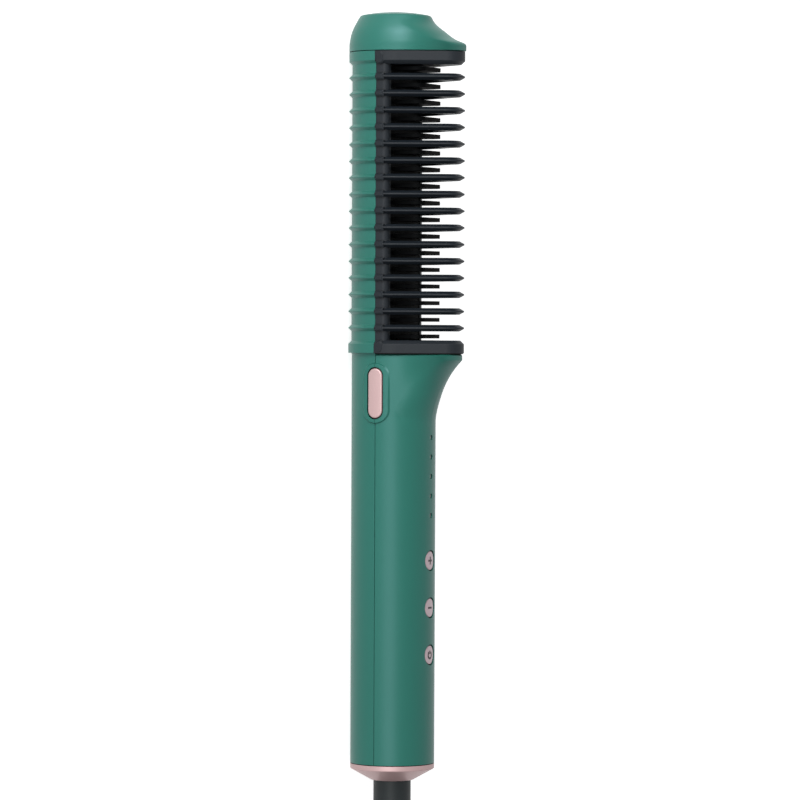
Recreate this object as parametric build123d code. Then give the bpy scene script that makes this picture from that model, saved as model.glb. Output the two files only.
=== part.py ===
"""Hair straightening brush: a round handle with three buttons, a head with a comb
guard of hooped fins over a heated comb, and a mains lead on a swivel.

The brush is modelled standing up: x points to the teeth, y to the side and z along the
brush, from the small end of the end cap. One placement then lays it on its back, with its
teeth up and its lead on the table.
"""

from build123d import *
import math
import os

# Casing
HANDLE_RADIUS = 16.2
HEAD_RADIUS = HANDLE_RADIUS + 0.2  # between the ribs of the head
WALL = 2.0
INNER_RADIUS = HANDLE_RADIUS - WALL
SPLIT_X = 0.1  # the plane where the front and back shells meet
SPLIT_GAP = 0.1
SPLIT_GROOVE = 0.2  # depth and half width of the groove along the split
SEAM = 0.3  # gap between two casing pieces end to end
LAP_GAP = 0.1  # gap between pieces that lap or slide into each other
SHELL_LENGTH = 163.9  # from the end cap's small end to the head
CAP_HEIGHT = 6.35  # the end cap's outer height
CAP_SMALL_RADIUS = 8.2
CAP_CONE_HEIGHT = 4.3
CAP_CONE_RADIUS = HANDLE_RADIUS - 0.3
CAP_SPIGOT = 6.0  # how far the end cap's collar reaches into the shells
SHELL_BOTTOM = CAP_HEIGHT + SEAM

# Head: the guard's bars, with a row of fins between them
LOWER_BAR = 5.2
UPPER_BAR = 5.0
BAR_TO_FIN = 4.7  # from a bar to the middle of the fin next to it
FIN_COUNT = 16
FIN_PITCH = 6.39
FIN_THICKNESS = 2.5
FIN_EDGE = 0.5  # thickness left at the fin's outer edge
FIN_BEVEL = 1.8
FIN_LEG = 3.3
HEAD_START = SHELL_LENGTH
FIRST_FIN = HEAD_START + LOWER_BAR + BAR_TO_FIN
LAST_FIN = FIRST_FIN + (FIN_COUNT - 1) * FIN_PITCH
HEAD_END = LAST_FIN + BAR_TO_FIN + UPPER_BAR
BARS = [(HEAD_START + SEAM, HEAD_START + LOWER_BAR), (HEAD_END - UPPER_BAR, HEAD_END)]
BAR_BEVEL = 1.4  # on the bars' rims and on the shell's bands beside them
RIB_RADIUS = HANDLE_RADIUS + 1.4  # of the back shell's ribs and bands, and the guard's backs
RIB_WIDTH = 3.0
RIB_EDGE = 0.2
TIP_REACH = HANDLE_RADIUS + 5.9  # from the axis to the centre of the teardrop's tip
TIP_RADIUS = 7.0
BRIDGE_DEPTH = 10.2  # solid tip of a fin, from front to back
WINDOW_ROUND = 2.2
RAIL_TOP = 4.7
RAIL_ROUND = 2.3
RAIL_INSIDE = INNER_RADIUS - 1.3
LUG = (SPLIT_X + SPLIT_GAP / 2, 3.7)  # the flat lug at a hoop's end
LUG_REACH = RIB_RADIUS + 0.05
LUG_BEVEL = 0.6
BAR_LUG_ROUND = 1.6
TONGUE_COUNT = 4
TONGUE = (3.0, 0.9, 8.0)  # depth behind the split, thickness and length

# Heated comb
COMB_BASE = (2.0, 4.4)
COMB_HALF_WIDTH = RAIL_INSIDE - 0.3
COMB_FIN_THICKNESS = 1.5
COMB_FIN_FRONT = TIP_REACH - 6.0
COMB_FIN_HALF_WIDTH = COMB_HALF_WIDTH - 2.6
COMB_FIN_ROUND = 4.0
COMB_END_GAP = 0.3

# Flare of the front shell: depth below the head, and share of the full teardrop
FLARE_DEPTH = 27.3
FLARE_LEAD = 0.9  # round length that leads into the flare
FLARE_START = HEAD_START - FLARE_DEPTH
LIP_ROUND = 0.9
FLARE = [(20.6, 0.08), (15.6, 0.215), (11.6, 0.36), (7.6, 0.56), (4.2, 0.79), (2.3, 0.94)]

# Top cap: height over the head, how far the sides draw in, and share of the tip's reach
TOP_RADIUS = RIB_RADIUS
TOP_TIP_RADIUS = TIP_RADIUS + 0.4
TOP_RIM = 1.8
TOP_SECTIONS = [
    (2.7, 0.0, 0.98), (3.9, 0.1, 0.8), (6.2, 0.5, 0.44),
    (9.7, 1.7, 0.13), (13.2, 3.6, 0.03), (16.2, 6.6, 0.02),
]
TOP_HEIGHT = 15.65
TOP_CROWN = 1.5  # how far the dome rises over its edge
TOP_DOME_EDGE = TOP_RADIUS - TOP_SECTIONS[-2][1]
TOP_DOME_RADIUS = (TOP_DOME_EDGE**2 + TOP_CROWN**2) / (2 * TOP_CROWN)
TOP_EDGE = 1.5  # rounding between the sides and the dome

# Buttons and lamps
BUTTON_HEIGHTS = {"button_plus": 84.7, "button_minus": 66.6, "button_power": 48.5}
BUTTON_RADIUS = 3.7
BUTTON_GAP = 0.3
BUTTON_TRAVEL = 0.6
BUTTON_SINK = 0.25  # below the handle's surface
BUTTON_FLANGE = 1.0
BUTTON_BEVEL = 0.25
BUTTON_FLANGE_RADIUS = BUTTON_RADIUS + BUTTON_GAP + 0.7
BUTTON_STEM_RADIUS = 1.5
LAMP_COUNT = 5
FIRST_LAMP = 102.0
LAMP_PITCH = 7.48
LAMP_PIPE_RADIUS = 0.9
LAMP_GAP = 0.1
LAMP_SINK = 0.35
LAMP_BAR = (2.0, 3.6)  # thickness and width of the bar that joins the light pipes
LAMP_HEIGHTS = [FIRST_LAMP + k * LAMP_PITCH for k in range(LAMP_COUNT)]

# Oval trim on each side, across the split
OVAL_HEIGHT = SHELL_LENGTH - 15.0
OVAL_X = 0.2
OVAL_LENGTH = 19.2
OVAL_WIDTH = 6.0
OVAL_GAP = 0.35
OVAL_RIM = 1.3
OVAL_SLOPE = 30.0  # lean of the rim's outer side
OVAL_ROUND = 0.8
OVAL_PAD_RADIUS = HANDLE_RADIUS + 0.6
OVAL_FOOT = INNER_RADIUS - WALL / 2  # where the rim's slope starts, under the surface
OVAL_CROWN = HANDLE_RADIUS + 0.75
OVAL_FLANGE = (1.3, 1.3)  # thickness, and width beyond the trim
SIDE_SPANS = ((-5.0, -30.0), (5.0, 30.0))  # from the middle outwards

# Electronics
BOARD_X = (2.0, 3.6)
BOARD_Z = (26.0, SHELL_LENGTH - 27.6)
BOARD_HALF_WIDTH = INNER_RADIUS - 2.2
SWITCH_HEIGHT = 5.0
SWITCH_BODY = (6.0, 6.0, 3.5)
SWITCH_PLUNGER_RADIUS = 1.7
SWITCH_TOP = BOARD_X[1] + SWITCH_HEIGHT
CHIP = (1.6, 2.0, 0.8)
POST_RADIUS = 2.8
SCREW_RADIUS = 1.1
SCREW_HEAD_RADIUS = 2.2
SCREW_HEAD = 1.3
SCREW_BITE = 8.0
SCREW_CLEARANCE = 0.05
BOARD_SCREW_Y = BOARD_HALF_WIDTH - 3.5
FILM_CAPACITOR = (9.5, 13.0, 8.0)
FILM_CAPACITOR_Z = BOARD_Z[0] + 14.0
RESERVOIR = (5.0, 14.0)  # radius and length
RESERVOIR_Y = -5.6
RESERVOIR_Z = BOARD_Z[0] + 32.0
TRIAC = (4.6, 10.0, 9.0)
TRIAC_TAB = (1.3, 10.0, 6.5)
TRIAC_Z = BOARD_Z[1] - 28.0
MICROCONTROLLER = (1.6, 4.2, 10.0)
MICROCONTROLLER_Y = -6.7
MICROCONTROLLER_Z = BOARD_Z[1] - 43.0
BOARD_SCREWS = [(y, z) for z in (BOARD_Z[0] + 5, BOARD_Z[1] - 6) for y in (-BOARD_SCREW_Y, BOARD_SCREW_Y)]

# Heater stack, as spans of x under the comb's base
HEATER = (0.6, 1.9)
HEATER_HALF_WIDTH = 7.0
HEATER_GAP = 6.0
INSULATION = (-0.3, 0.5)
CLIP = (-1.7, -0.4)
CLIP_LENGTH = 16.0
CLIP_WIDTH = 10.0
CLIP_SHEET = 0.5
CARRIER = (-3.4, -1.8)
CARRIER_HALF_WIDTH = RAIL_INSIDE - 0.5
CARRIER_WALL = 1.2
CARRIER_Z = (HEAD_START + 7.4, HEAD_END - 8.2)
HEATER_Z = (CARRIER_Z[0] + 2.5, CARRIER_Z[1] - 1.9)
HEATER_LENGTH = (HEATER_Z[1] - HEATER_Z[0] - HEATER_GAP) / 2
HEATER_MIDDLES = (HEATER_Z[0] + HEATER_LENGTH / 2, HEATER_Z[1] - HEATER_LENGTH / 2)
SCREW_FROM_CLIP = CLIP_LENGTH / 2 + SCREW_HEAD_RADIUS + 1.2
CARRIER_SCREWS = [(0.0, HEATER_MIDDLES[0] - SCREW_FROM_CLIP), (0.0, HEATER_MIDDLES[1] + SCREW_FROM_CLIP)]
FUSE_RADIUS = 1.35
FUSE_LENGTH = 11.0
FUSE_LEG_RADIUS = 0.4
LEAD_Y = 4.2
SUPPLY_Y = 5.0
HEATER_WIRE_RADIUS = 0.6
SUPPLY_WIRE_RADIUS = 0.75
WIRE_BEND = 3.0
WIRE_SIDES = 8
WIRE_DROP = -0.5

# Swivel and strain relief
SWIVEL_RADIUS = 7.2
SWIVEL_GAP = 0.1
SWIVEL_OUT = 14.0
CAVITY_START = 3.6
FLANGE_RADIUS = 9.8
FLANGE = (CAVITY_START + 0.2, CAVITY_START + 2.0)
SPINDLE_RADIUS = 3.5
RING_OUTER = 5.0
RING_HEIGHT = 2.0
RING_STARTS = (FLANGE[1] + 1.6, FLANGE[1] + 5.8)
SPINDLE_TOP = RING_STARTS[1] + RING_HEIGHT + 2.0
CONTACT_CUP = (FLANGE[1] + 0.3, SPINDLE_TOP + 0.6)
CONTACT_CUP_RADIUS = INNER_RADIUS - 2.2
RING_FIT = 0.02
CONTACT = (1.2, 2.4, 1.4)
CONTACT_GAP = 0.1
RELIEF_LENGTH = 41.0
RELIEF_ROOT_RADIUS = 6.3
RELIEF_END_RADIUS = 4.1
RELIEF_GROOVES = 6
RELIEF_GROOVE_DEPTH = 0.9
RELIEF_TOP = -SWIVEL_OUT
RELIEF_TIP = RELIEF_TOP - RELIEF_LENGTH

# Lead, hank, tie and plug
CORD_RADIUS = 2.5
TIE_THICKNESS = 0.9
TIE_WIDTH = 10.0
TIE_GAP = 0.25
HANK_RUN = 90.0
HANK_FOLD = 15.1  # radius of the inner loops' folds
HANK_STEP = 6.5  # from loop to loop in one layer
HANK_LAYER = 5.6
HANK_WAIST = 11.8  # how far the tie draws the runs in
HANK_SIDES = 6
TAIL_RUN = 46.0
PLUG_BODY = (30.0, 35.4, 13.7)
PLUG_REAR = (14.0, 9.4)
PLUG_SLEEVE = 11.0
PLUG_SLEEVE_RADIUS = 4.2
PLUG_Y = -7.0
PIN_RADIUS = 2.0
PIN_LENGTH = 19.0
PIN_SPACING = 18.6

# The lead's points from the strain relief to the hank, as distances before the hank's
# start, across the table and up; the first two lie on the brush's axis
LEAD_POINTS = [
    (84.0, 0.0, None),
    (68.0, 0.0, None),
    (53.0, 4.8, 13.0),
    (38.0, 13.4, 7.2),
    (22.0, None, None),
    (5.0, None, None),
]

# The brush lies on its back, and its length is centred
AXIS_HEIGHT = RIB_RADIUS
LENGTH_TOP = HEAD_END + TOP_HEIGHT
CENTRE = (LENGTH_TOP + RELIEF_TIP) / 2
LAID = Location((CENTRE, 0, AXIS_HEIGHT), (0, -90, 0))
HANK_X = CENTRE - RELIEF_TIP + LEAD_POINTS[0][0]
FIRST_LAYER = CORD_RADIUS + TIE_THICKNESS + TIE_GAP
FAR = 400.0  # beyond the whole part


def block(x, y, z):
    """A box between two values on each axis."""
    size = (x[1] - x[0], y[1] - y[0], z[1] - z[0])
    centre = ((x[0] + x[1]) / 2, (y[0] + y[1]) / 2, (z[0] + z[1]) / 2)
    return Pos(*centre) * Box(*size)


def between(low, high):
    """All space between two values of x."""
    return block((low, high), (-FAR, FAR), (-FAR, FAR))


def rod(radius, z):
    """A cylinder about the brush's axis, between two heights."""
    return Pos(0, 0, (z[0] + z[1]) / 2) * Cylinder(radius, z[1] - z[0])


def pin(radius, x, y, z):
    """A cylinder that points to the front, between two values of x."""
    return Pos((x[0] + x[1]) / 2, y, z) * Rot(0, 90, 0) * Cylinder(radius, x[1] - x[0])


def turned(points):
    """A solid of revolution about the brush's axis, from points of radius and height."""
    outline = [Vector(radius, 0, height) for radius, height in points]
    face = make_face(Polyline(*outline, close=True).edges())
    return revolve(face, Axis.Z, 360)


def skin_edges(shape, skin_radius):
    """The shape's edges on its round outer skin."""
    return [e for e in shape.edges() if math.hypot((e @ 0.5).X, (e @ 0.5).Y) > skin_radius - 0.01]


def at_angle(radius, angle, shift=0.0):
    return (shift + radius * math.cos(angle), radius * math.sin(angle))


def teardrop(radius, reach, tip_radius, z=0.0):
    """A circle about the axis joined by tangents to a tip circle in front of it."""
    angle = math.acos((radius - tip_radius) / reach)
    return six_sided(radius, angle, tip_radius, angle, reach, z)


def circle_face(radius, z=0.0):
    """A circle cut into the same six edges as a teardrop, to loft into one."""
    angle = math.acos((HANDLE_RADIUS - TIP_RADIUS) / TIP_REACH)
    return six_sided(radius, angle, radius, angle * 0.75, 0.0, z)


def six_sided(radius, angle, tip_radius, tip_angle, reach, z):
    """The outline that both faces share: back arcs, two flanks and tip arcs."""
    root, side = at_angle(radius, angle), at_angle(tip_radius, tip_angle, reach)
    back, front = (-radius, 0.0), (reach + tip_radius, 0.0)
    back_mid = at_angle(radius, (math.pi + angle) / 2)
    front_mid = at_angle(tip_radius, tip_angle / 2, reach)
    low = [(x, -y) for x, y in (root, side, back_mid, front_mid)]
    if reach > 0:
        flanks = [Line(root, side), Line(low[1], low[0])]
    else:
        mid = at_angle(radius, (angle + tip_angle) / 2)
        flanks = [ThreePointArc(root, mid, side), ThreePointArc(low[1], (mid[0], -mid[1]), low[0])]
    edges = [
        ThreePointArc(back, back_mid, root),
        flanks[0],
        ThreePointArc(side, front_mid, front),
        ThreePointArc(front, low[3], low[1]),
        flanks[1],
        ThreePointArc(low[0], low[2], back),
    ]
    return Pos(0, 0, z) * make_face(edges)


def front_half(shape):
    return shape & between(SPLIT_X + SPLIT_GAP / 2, FAR)


def back_half(shape):
    return shape & between(-FAR, SPLIT_X - SPLIT_GAP / 2)


def split_grooves():
    """Two shallow grooves along the handle, where the shells' edges are chamfered."""
    side = SPLIT_GROOVE * math.sqrt(2)
    length = HEAD_START - SHELL_BOTTOM
    groove = Rot(0, 0, 45) * Box(side, side, length)
    return [Pos(SPLIT_X, y, SHELL_BOTTOM + length / 2) * groove for y in (-HANDLE_RADIUS, HANDLE_RADIUS)]


def oval(length, width, y):
    """A bar with a long round-ended outline, from one value of y to another."""
    turned_up = Pos(OVAL_X, y[0], OVAL_HEIGHT) * Rot(-90, 0, 0) * Rot(0, 0, 90) * SlotOverall(length, width)
    return extrude(turned_up, y[1] - y[0], dir=(0, 1, 0))


def oval_pads():
    """Raised rims round the side trims, following the handle's round surface."""
    root, rim = INNER_RADIUS + WALL / 2, 2 * (OVAL_GAP + OVAL_RIM)
    spread = rim + 2 * (OVAL_PAD_RADIUS - OVAL_FOOT) * math.tan(math.radians(OVAL_SLOPE))
    skin = rod(OVAL_PAD_RADIUS, (0, HEAD_END)) - rod(root, (0, HEAD_END))
    pads = []
    for side in (-1, 1):
        foot = Plane(origin=(OVAL_X, side * OVAL_FOOT, OVAL_HEIGHT), x_dir=(0, 0, 1), z_dir=(0, side, 0))
        outline = foot * SlotOverall(OVAL_LENGTH + spread, OVAL_WIDTH + spread)
        pads.append(skin & extrude(outline, OVAL_PAD_RADIUS - OVAL_FOOT, taper=OVAL_SLOPE))
    return pads


def oval_holes():
    sides = (SIDE_SPANS[0][1], SIDE_SPANS[1][1])
    return oval(OVAL_LENGTH + 2 * OVAL_GAP, OVAL_WIDTH + 2 * OVAL_GAP, sides)


def flare(inset, lip_round=0.0):
    """The front shell's body from its flare to its lip, `inset` inside the surface."""
    radius = HANDLE_RADIUS - inset
    sections = [circle_face(radius, FLARE_START), circle_face(radius, FLARE_START + FLARE_LEAD)]
    for depth, share in FLARE:
        tip = HANDLE_RADIUS + share * (TIP_RADIUS - HANDLE_RADIUS) - inset
        sections.append(teardrop(radius, share * TIP_REACH, tip, HEAD_START - depth))
    lip = extrude(sections[-1], FLARE[-1][0])
    if lip_round:
        lip = fillet(lip.edges().group_by(Axis.Z)[-1], lip_round)
    return loft(sections, ruled=inset > 0) + lip


def handle(lip_round=0.0):
    """Both shells in one solid, from the end cap to the flare's lip, with its side trims' seats."""
    body = rod(HANDLE_RADIUS, (SHELL_BOTTOM, FLARE_START)) + flare(0, lip_round)
    for pad in oval_pads():
        body += pad
    for cut in [oval_holes()] + split_grooves():
        body -= cut
    return body


def front_shell():
    shell = handle(LIP_ROUND) - rod(INNER_RADIUS, (0, FLARE_START)) - flare(WALL)
    for height in BUTTON_HEIGHTS.values():
        shell -= pin(BUTTON_RADIUS + BUTTON_GAP, (INNER_RADIUS / 2, FAR), 0, height)
    for height in LAMP_HEIGHTS:
        shell -= pin(LAMP_PIPE_RADIUS + LAMP_GAP, (INNER_RADIUS / 2, FAR), 0, height)
    return front_half(shell)


def shell_ribs():
    """Sharp ribs round the back of the head, one in line with each fin of the guard."""
    root = HEAD_RADIUS - 0.3
    half, edge = RIB_WIDTH / 2, RIB_EDGE / 2
    ribs = []
    for k in range(FIN_COUNT):
        z = FIRST_FIN + k * FIN_PITCH
        rib = turned([(root, z - half), (RIB_RADIUS, z - edge), (RIB_RADIUS, z + edge), (root, z + half)])
        ribs.append(back_half(rib))
    return ribs


def shell_bands():
    """Plain raised bands at both ends of the ribs, bevelled towards them."""
    root = HEAD_RADIUS - 0.3
    (bottom, low), (high, top) = BARS
    lower = [(root, bottom), (RIB_RADIUS, bottom), (RIB_RADIUS, low - BAR_BEVEL), (root, low)]
    upper = [(root, high), (RIB_RADIUS, high + BAR_BEVEL), (RIB_RADIUS, top), (root, top)]
    return [back_half(turned(outline)) for outline in (lower, upper)]


def posts(places, top):
    """Screw posts that stand on the back shell's inside."""
    made = []
    for y, z in places:
        floor = -math.sqrt(INNER_RADIUS**2 - (abs(y) + POST_RADIUS) ** 2)
        made.append(pin(POST_RADIUS, (floor - WALL / 2, top), y, z) & rod(INNER_RADIUS + 0.5, (0, HEAD_END)))
    return made


def screw_holes(places, top):
    radius = SCREW_RADIUS + SCREW_CLEARANCE
    return [pin(radius, (top - SCREW_BITE - 0.5, top + 1), y, z) for y, z in places]


def back_shell():
    shell = handle() + rod(HEAD_RADIUS, (HEAD_START, HEAD_END)) - rod(INNER_RADIUS, (0, FAR))
    shell = back_half(shell) + shell_bands() + shell_ribs()
    shell = shell + posts(BOARD_SCREWS, BOARD_X[0]) + posts(CARRIER_SCREWS, CARRIER[0])
    for hole in screw_holes(BOARD_SCREWS, BOARD_X[0]) + screw_holes(CARRIER_SCREWS, CARRIER[0]):
        shell -= hole
    return shell


def top_cap():
    """Green end of the head: a rim of the teardrop's outline under sides that draw in
    to a shallow dome."""
    rim = teardrop(TOP_RADIUS, TIP_REACH, TOP_TIP_RADIUS, HEAD_END + SEAM)
    lean = (TOP_RADIUS - TOP_TIP_RADIUS) / TIP_REACH
    sides = [teardrop(TOP_RADIUS, TIP_REACH, TOP_TIP_RADIUS, HEAD_END + TOP_RIM)]
    hollow = [teardrop(TOP_RADIUS - WALL, TIP_REACH, TOP_TIP_RADIUS - WALL, HEAD_END)]
    for height, draw_in, share in TOP_SECTIONS:
        radius, reach = TOP_RADIUS - draw_in, share * TIP_REACH
        sides.append(teardrop(radius, reach, radius - lean * reach, HEAD_END + height))
        inner = radius - WALL
        hollow.append(teardrop(inner, reach, inner - lean * reach, HEAD_END + height - WALL))
    centre = Vector(0, 0, LENGTH_TOP - TOP_DOME_RADIUS)
    upper = loft(sides) & Pos(*centre) * Sphere(TOP_DOME_RADIUS)
    edge = [e for e in upper.edges() if abs(((e @ 0.5) - centre).length - TOP_DOME_RADIUS) < 0.02]
    return extrude(rim, TOP_RIM - SEAM) + fillet(edge, TOP_EDGE) - loft(hollow[:-1], ruled=True)


def bevelled_plate(outline, thickness, drop, depth):
    """A plate whose rim is bevelled on both sides: `drop` in height and `depth` inwards."""
    radius, reach, tip = outline
    inner = teardrop(radius - depth, reach, tip - depth)
    wide = teardrop(radius, reach, tip)
    core = Pos(0, 0, drop) * extrude(wide, thickness - 2 * drop)
    low = loft([inner, Pos(0, 0, drop) * wide], ruled=True)
    high = loft([Pos(0, 0, thickness - drop) * wide, Pos(0, 0, thickness) * inner], ruled=True)
    return low + core + high


def hoop_opening(z):
    """What a hoop of the guard leaves free: the comb's bed, and the shell behind it."""
    bed = block((-FAR, RAIL_TOP), (-RAIL_INSIDE, RAIL_INSIDE), z)
    return bed + block((-FAR, LUG[0]), (-FAR, FAR), z)


def fin_window(tall):
    """The opening through a fin, between its legs and its solid tip."""
    window = extrude(teardrop(RIB_RADIUS - FIN_LEG, TIP_REACH, TIP_RADIUS - FIN_LEG), tall)
    window &= between(-FAR, TIP_REACH + TIP_RADIUS - BRIDGE_DEPTH)
    return fillet(window.edges().filter_by(Axis.Z).group_by(Axis.X)[-1], WINDOW_ROUND)


def lugs(z, rounding=0.0):
    """Flat lugs with bevelled faces at both ends of a hoop, beside the back shell."""
    size = (LUG[1] - LUG[0], z[1] - z[0])
    face = RectangleRounded(*size, rounding) if rounding else Rectangle(*size)
    place = Plane(origin=((LUG[0] + LUG[1]) / 2, 0, (z[0] + z[1]) / 2), x_dir=(1, 0, 0), z_dir=(0, -1, 0))
    slab = extrude(place * face, LUG_REACH, both=True)
    slab = chamfer([e for e in slab.edges() if abs((e @ 0.5).Y) > LUG_REACH - 0.01], LUG_BEVEL)
    return slab - block((-FAR, FAR), (-RAIL_INSIDE - 1, RAIL_INSIDE + 1), (z[0] - 1, z[1] + 1))


def comb_guard():
    """Both rails, the bars that close their ends and the row of hooped fins."""
    rails = rod(HEAD_RADIUS, (BARS[0][1] - 1, BARS[1][0] + 1)) & between(SPLIT_X + SPLIT_GAP / 2, RAIL_TOP)
    front = rails.edges().filter_by(Axis.Z).group_by(Axis.X)[-1]
    rails = fillet(front, RAIL_ROUND) - block((-FAR, FAR), (-RAIL_INSIDE, RAIL_INSIDE), (0, FAR))
    pieces = [rails]
    for span, inner in zip(BARS, (-1, 0)):
        bar = extrude(teardrop(RIB_RADIUS, TIP_REACH, TIP_RADIUS, span[0]), span[1] - span[0])
        bar = front_half(chamfer(bar.edges().group_by(Axis.Z)[inner], BAR_BEVEL))
        pieces += [bar, lugs(span, BAR_LUG_ROUND) - hoop_opening(span)]
    drop = (FIN_THICKNESS - FIN_EDGE) / 2
    fin = bevelled_plate((RIB_RADIUS, TIP_REACH, TIP_RADIUS), FIN_THICKNESS, drop, FIN_BEVEL)
    fin = fin + lugs((0, FIN_THICKNESS))
    fin = fin - fin_window(FIN_THICKNESS) - hoop_opening((-1, FIN_THICKNESS + 1))
    for k in range(FIN_COUNT):
        pieces.append(Pos(0, 0, FIRST_FIN + k * FIN_PITCH - FIN_THICKNESS / 2) * fin)
    return pieces[0].fuse(*pieces[1:], *tongues())


def tongues():
    """Tongues on the rails that reach behind the back shell's edges."""
    depth, thickness, length = TONGUE
    spacing = (LAST_FIN - FIRST_FIN) / TONGUE_COUNT
    root = SPLIT_X + 2 * LAP_GAP
    made = []
    for k in range(TONGUE_COUNT):
        low = FIRST_FIN + (k + 0.5) * spacing - length / 2
        for side in (-1, 1):
            blade = sorted((side * (RAIL_INSIDE - LAP_GAP), side * (RAIL_INSIDE - LAP_GAP + thickness)))
            foot = sorted((side * RAIL_INSIDE, side * (RAIL_INSIDE + 1)))
            made.append(block((-depth, root + 1), blade, (low, low + length)))
            made.append(block((root, root + 1), foot, (low, low + length)))
    return made


def heating_comb():
    """Aluminium comb: a flat base with thin round-cornered fins between the guard's."""
    start, end = BARS[0][1] + COMB_END_GAP, BARS[1][0] - COMB_END_GAP
    base = block(COMB_BASE, (-COMB_HALF_WIDTH, COMB_HALF_WIDTH), (start, end))
    first = FIRST_FIN - FIN_PITCH / 2
    fin_face = RectangleRounded(2 * (COMB_FIN_FRONT - COMB_BASE[0]), 2 * COMB_FIN_HALF_WIDTH, COMB_FIN_ROUND)
    fin = extrude(Pos(COMB_BASE[0], 0, 0) * fin_face, COMB_FIN_THICKNESS) & between(COMB_BASE[0] + 1, FAR)
    fins = [Pos(0, 0, first + k * FIN_PITCH - COMB_FIN_THICKNESS / 2) * fin for k in range(FIN_COUNT + 1)]
    return base.fuse(*fins)


def end_cap():
    """Metal-look cone that closes the handle and holds the swivel's flange."""
    bore = SWIVEL_RADIUS + SWIVEL_GAP
    collar = INNER_RADIUS - LAP_GAP
    inside = CONTACT_CUP_RADIUS + LAP_GAP
    return turned([
        (bore, 0),
        (CAP_SMALL_RADIUS, 0),
        (CAP_CONE_RADIUS, CAP_CONE_HEIGHT),
        (HANDLE_RADIUS, CAP_CONE_HEIGHT + 0.3),
        (HANDLE_RADIUS, CAP_HEIGHT),
        (collar, CAP_HEIGHT),
        (collar, CAP_HEIGHT + CAP_SPIGOT),
        (inside, CAP_HEIGHT + CAP_SPIGOT),
        (inside, CAVITY_START),
        (bore, CAVITY_START),
    ])


def button(height):
    """A round key flush with the handle, with a flange and a stem inside it."""
    surface = HANDLE_RADIUS - BUTTON_SINK
    inner_edge = math.sqrt(INNER_RADIUS**2 - BUTTON_FLANGE_RADIUS**2)
    flange_top = inner_edge - LAP_GAP
    flange_bottom = flange_top - BUTTON_FLANGE
    stem_end = SWITCH_TOP + BUTTON_TRAVEL + LAP_GAP
    key = pin(BUTTON_RADIUS, (flange_bottom, FAR), 0, height) & rod(surface, (0, HEAD_START))
    key = chamfer(skin_edges(key, surface), BUTTON_BEVEL)
    key += pin(BUTTON_FLANGE_RADIUS, (flange_bottom, flange_top), 0, height)
    return key + pin(BUTTON_STEM_RADIUS, (stem_end, flange_bottom + BUTTON_FLANGE / 2), 0, height)


def side_insert(side):
    """Glossy oval trim with a crowned face and a flange behind the shells' wall."""
    thickness, lip = OVAL_FLANGE
    bed = math.sqrt(INNER_RADIUS**2 - (OVAL_WIDTH / 2 + lip) ** 2) - LAP_GAP
    ring = rod(OVAL_CROWN, (0, HEAD_START)) - rod(bed - thickness, (0, HEAD_START))
    plug = oval(OVAL_LENGTH, OVAL_WIDTH, SIDE_SPANS[side > 0]) & ring
    plug = fillet(skin_edges(plug, OVAL_CROWN), OVAL_ROUND)
    span = sorted((side * (bed - thickness), side * bed))
    return plug + oval(OVAL_LENGTH + 2 * lip, OVAL_WIDTH + 2 * lip, span)


def led_guide():
    """Smoked light pipes in one row, joined by a bar behind the shell."""
    surface = rod(HANDLE_RADIUS - LAMP_SINK, (0, HEAD_START))
    thickness, width = LAMP_BAR
    top, end = INNER_RADIUS - 0.6, LAMP_PIPE_RADIUS + 1.6
    row = (LAMP_HEIGHTS[0] - end, LAMP_HEIGHTS[-1] + end)
    guide = block((top - thickness, top), (-width / 2, width / 2), row)
    for height in LAMP_HEIGHTS:
        guide += pin(LAMP_PIPE_RADIUS, (BOARD_X[1] + CHIP[0] / 2 + 0.3, FAR), 0, height) & surface
    return guide


def control_board():
    board = block(BOARD_X, (-BOARD_HALF_WIDTH, BOARD_HALF_WIDTH), BOARD_Z)
    for y, z in BOARD_SCREWS:
        board -= pin(SCREW_RADIUS + 0.2, (BOARD_X[0] - 1, BOARD_X[1] + 1), y, z)
    return board


def tact_switches():
    length, width, body = SWITCH_BODY
    face = BOARD_X[1]
    made = []
    for height in BUTTON_HEIGHTS.values():
        base = block((face, face + body), (-width / 2, width / 2), (height - length / 2, height + length / 2))
        made.append(base + pin(SWITCH_PLUNGER_RADIUS, (face + body - 0.5, SWITCH_TOP), 0, height))
    return made


def led_chips():
    wide, long, thick = CHIP
    x, y = (BOARD_X[1], BOARD_X[1] + thick), (-wide / 2, wide / 2)
    return [block(x, y, (height - long / 2, height + long / 2)) for height in LAMP_HEIGHTS]


def film_capacitor():
    deep, wide, long = FILM_CAPACITOR
    face, low = BOARD_X[0], FILM_CAPACITOR_Z - long / 2
    body = block((face - deep, face), (-wide / 2, wide / 2), (low, low + long))
    return fillet(body.edges().filter_by(Axis.X), 0.8)


def reservoir_capacitor():
    radius, length = RESERVOIR
    body = Pos(BOARD_X[0] - radius - LAP_GAP, RESERVOIR_Y, RESERVOIR_Z) * Cylinder(radius, length)
    return chamfer(body.edges().filter_by(GeomType.CIRCLE), 0.6)


def triac():
    deep, wide, long = TRIAC
    tab_deep, tab_wide, tab_long = TRIAC_TAB
    face, top = BOARD_X[0], TRIAC_Z + long
    body = block((face - deep, face), (-wide / 2, wide / 2), (TRIAC_Z, top))
    tab = block((face - tab_deep, face), (-tab_wide / 2, tab_wide / 2), (top, top + tab_long))
    return body + (tab - pin(1.8, (face - deep, face + 1), 0, top + tab_long / 2))


def microcontroller():
    deep, wide, long = MICROCONTROLLER
    y, z = MICROCONTROLLER_Y, MICROCONTROLLER_Z
    return block((BOARD_X[1], BOARD_X[1] + deep), (y - wide / 2, y + wide / 2), (z - long / 2, z + long / 2))


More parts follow.
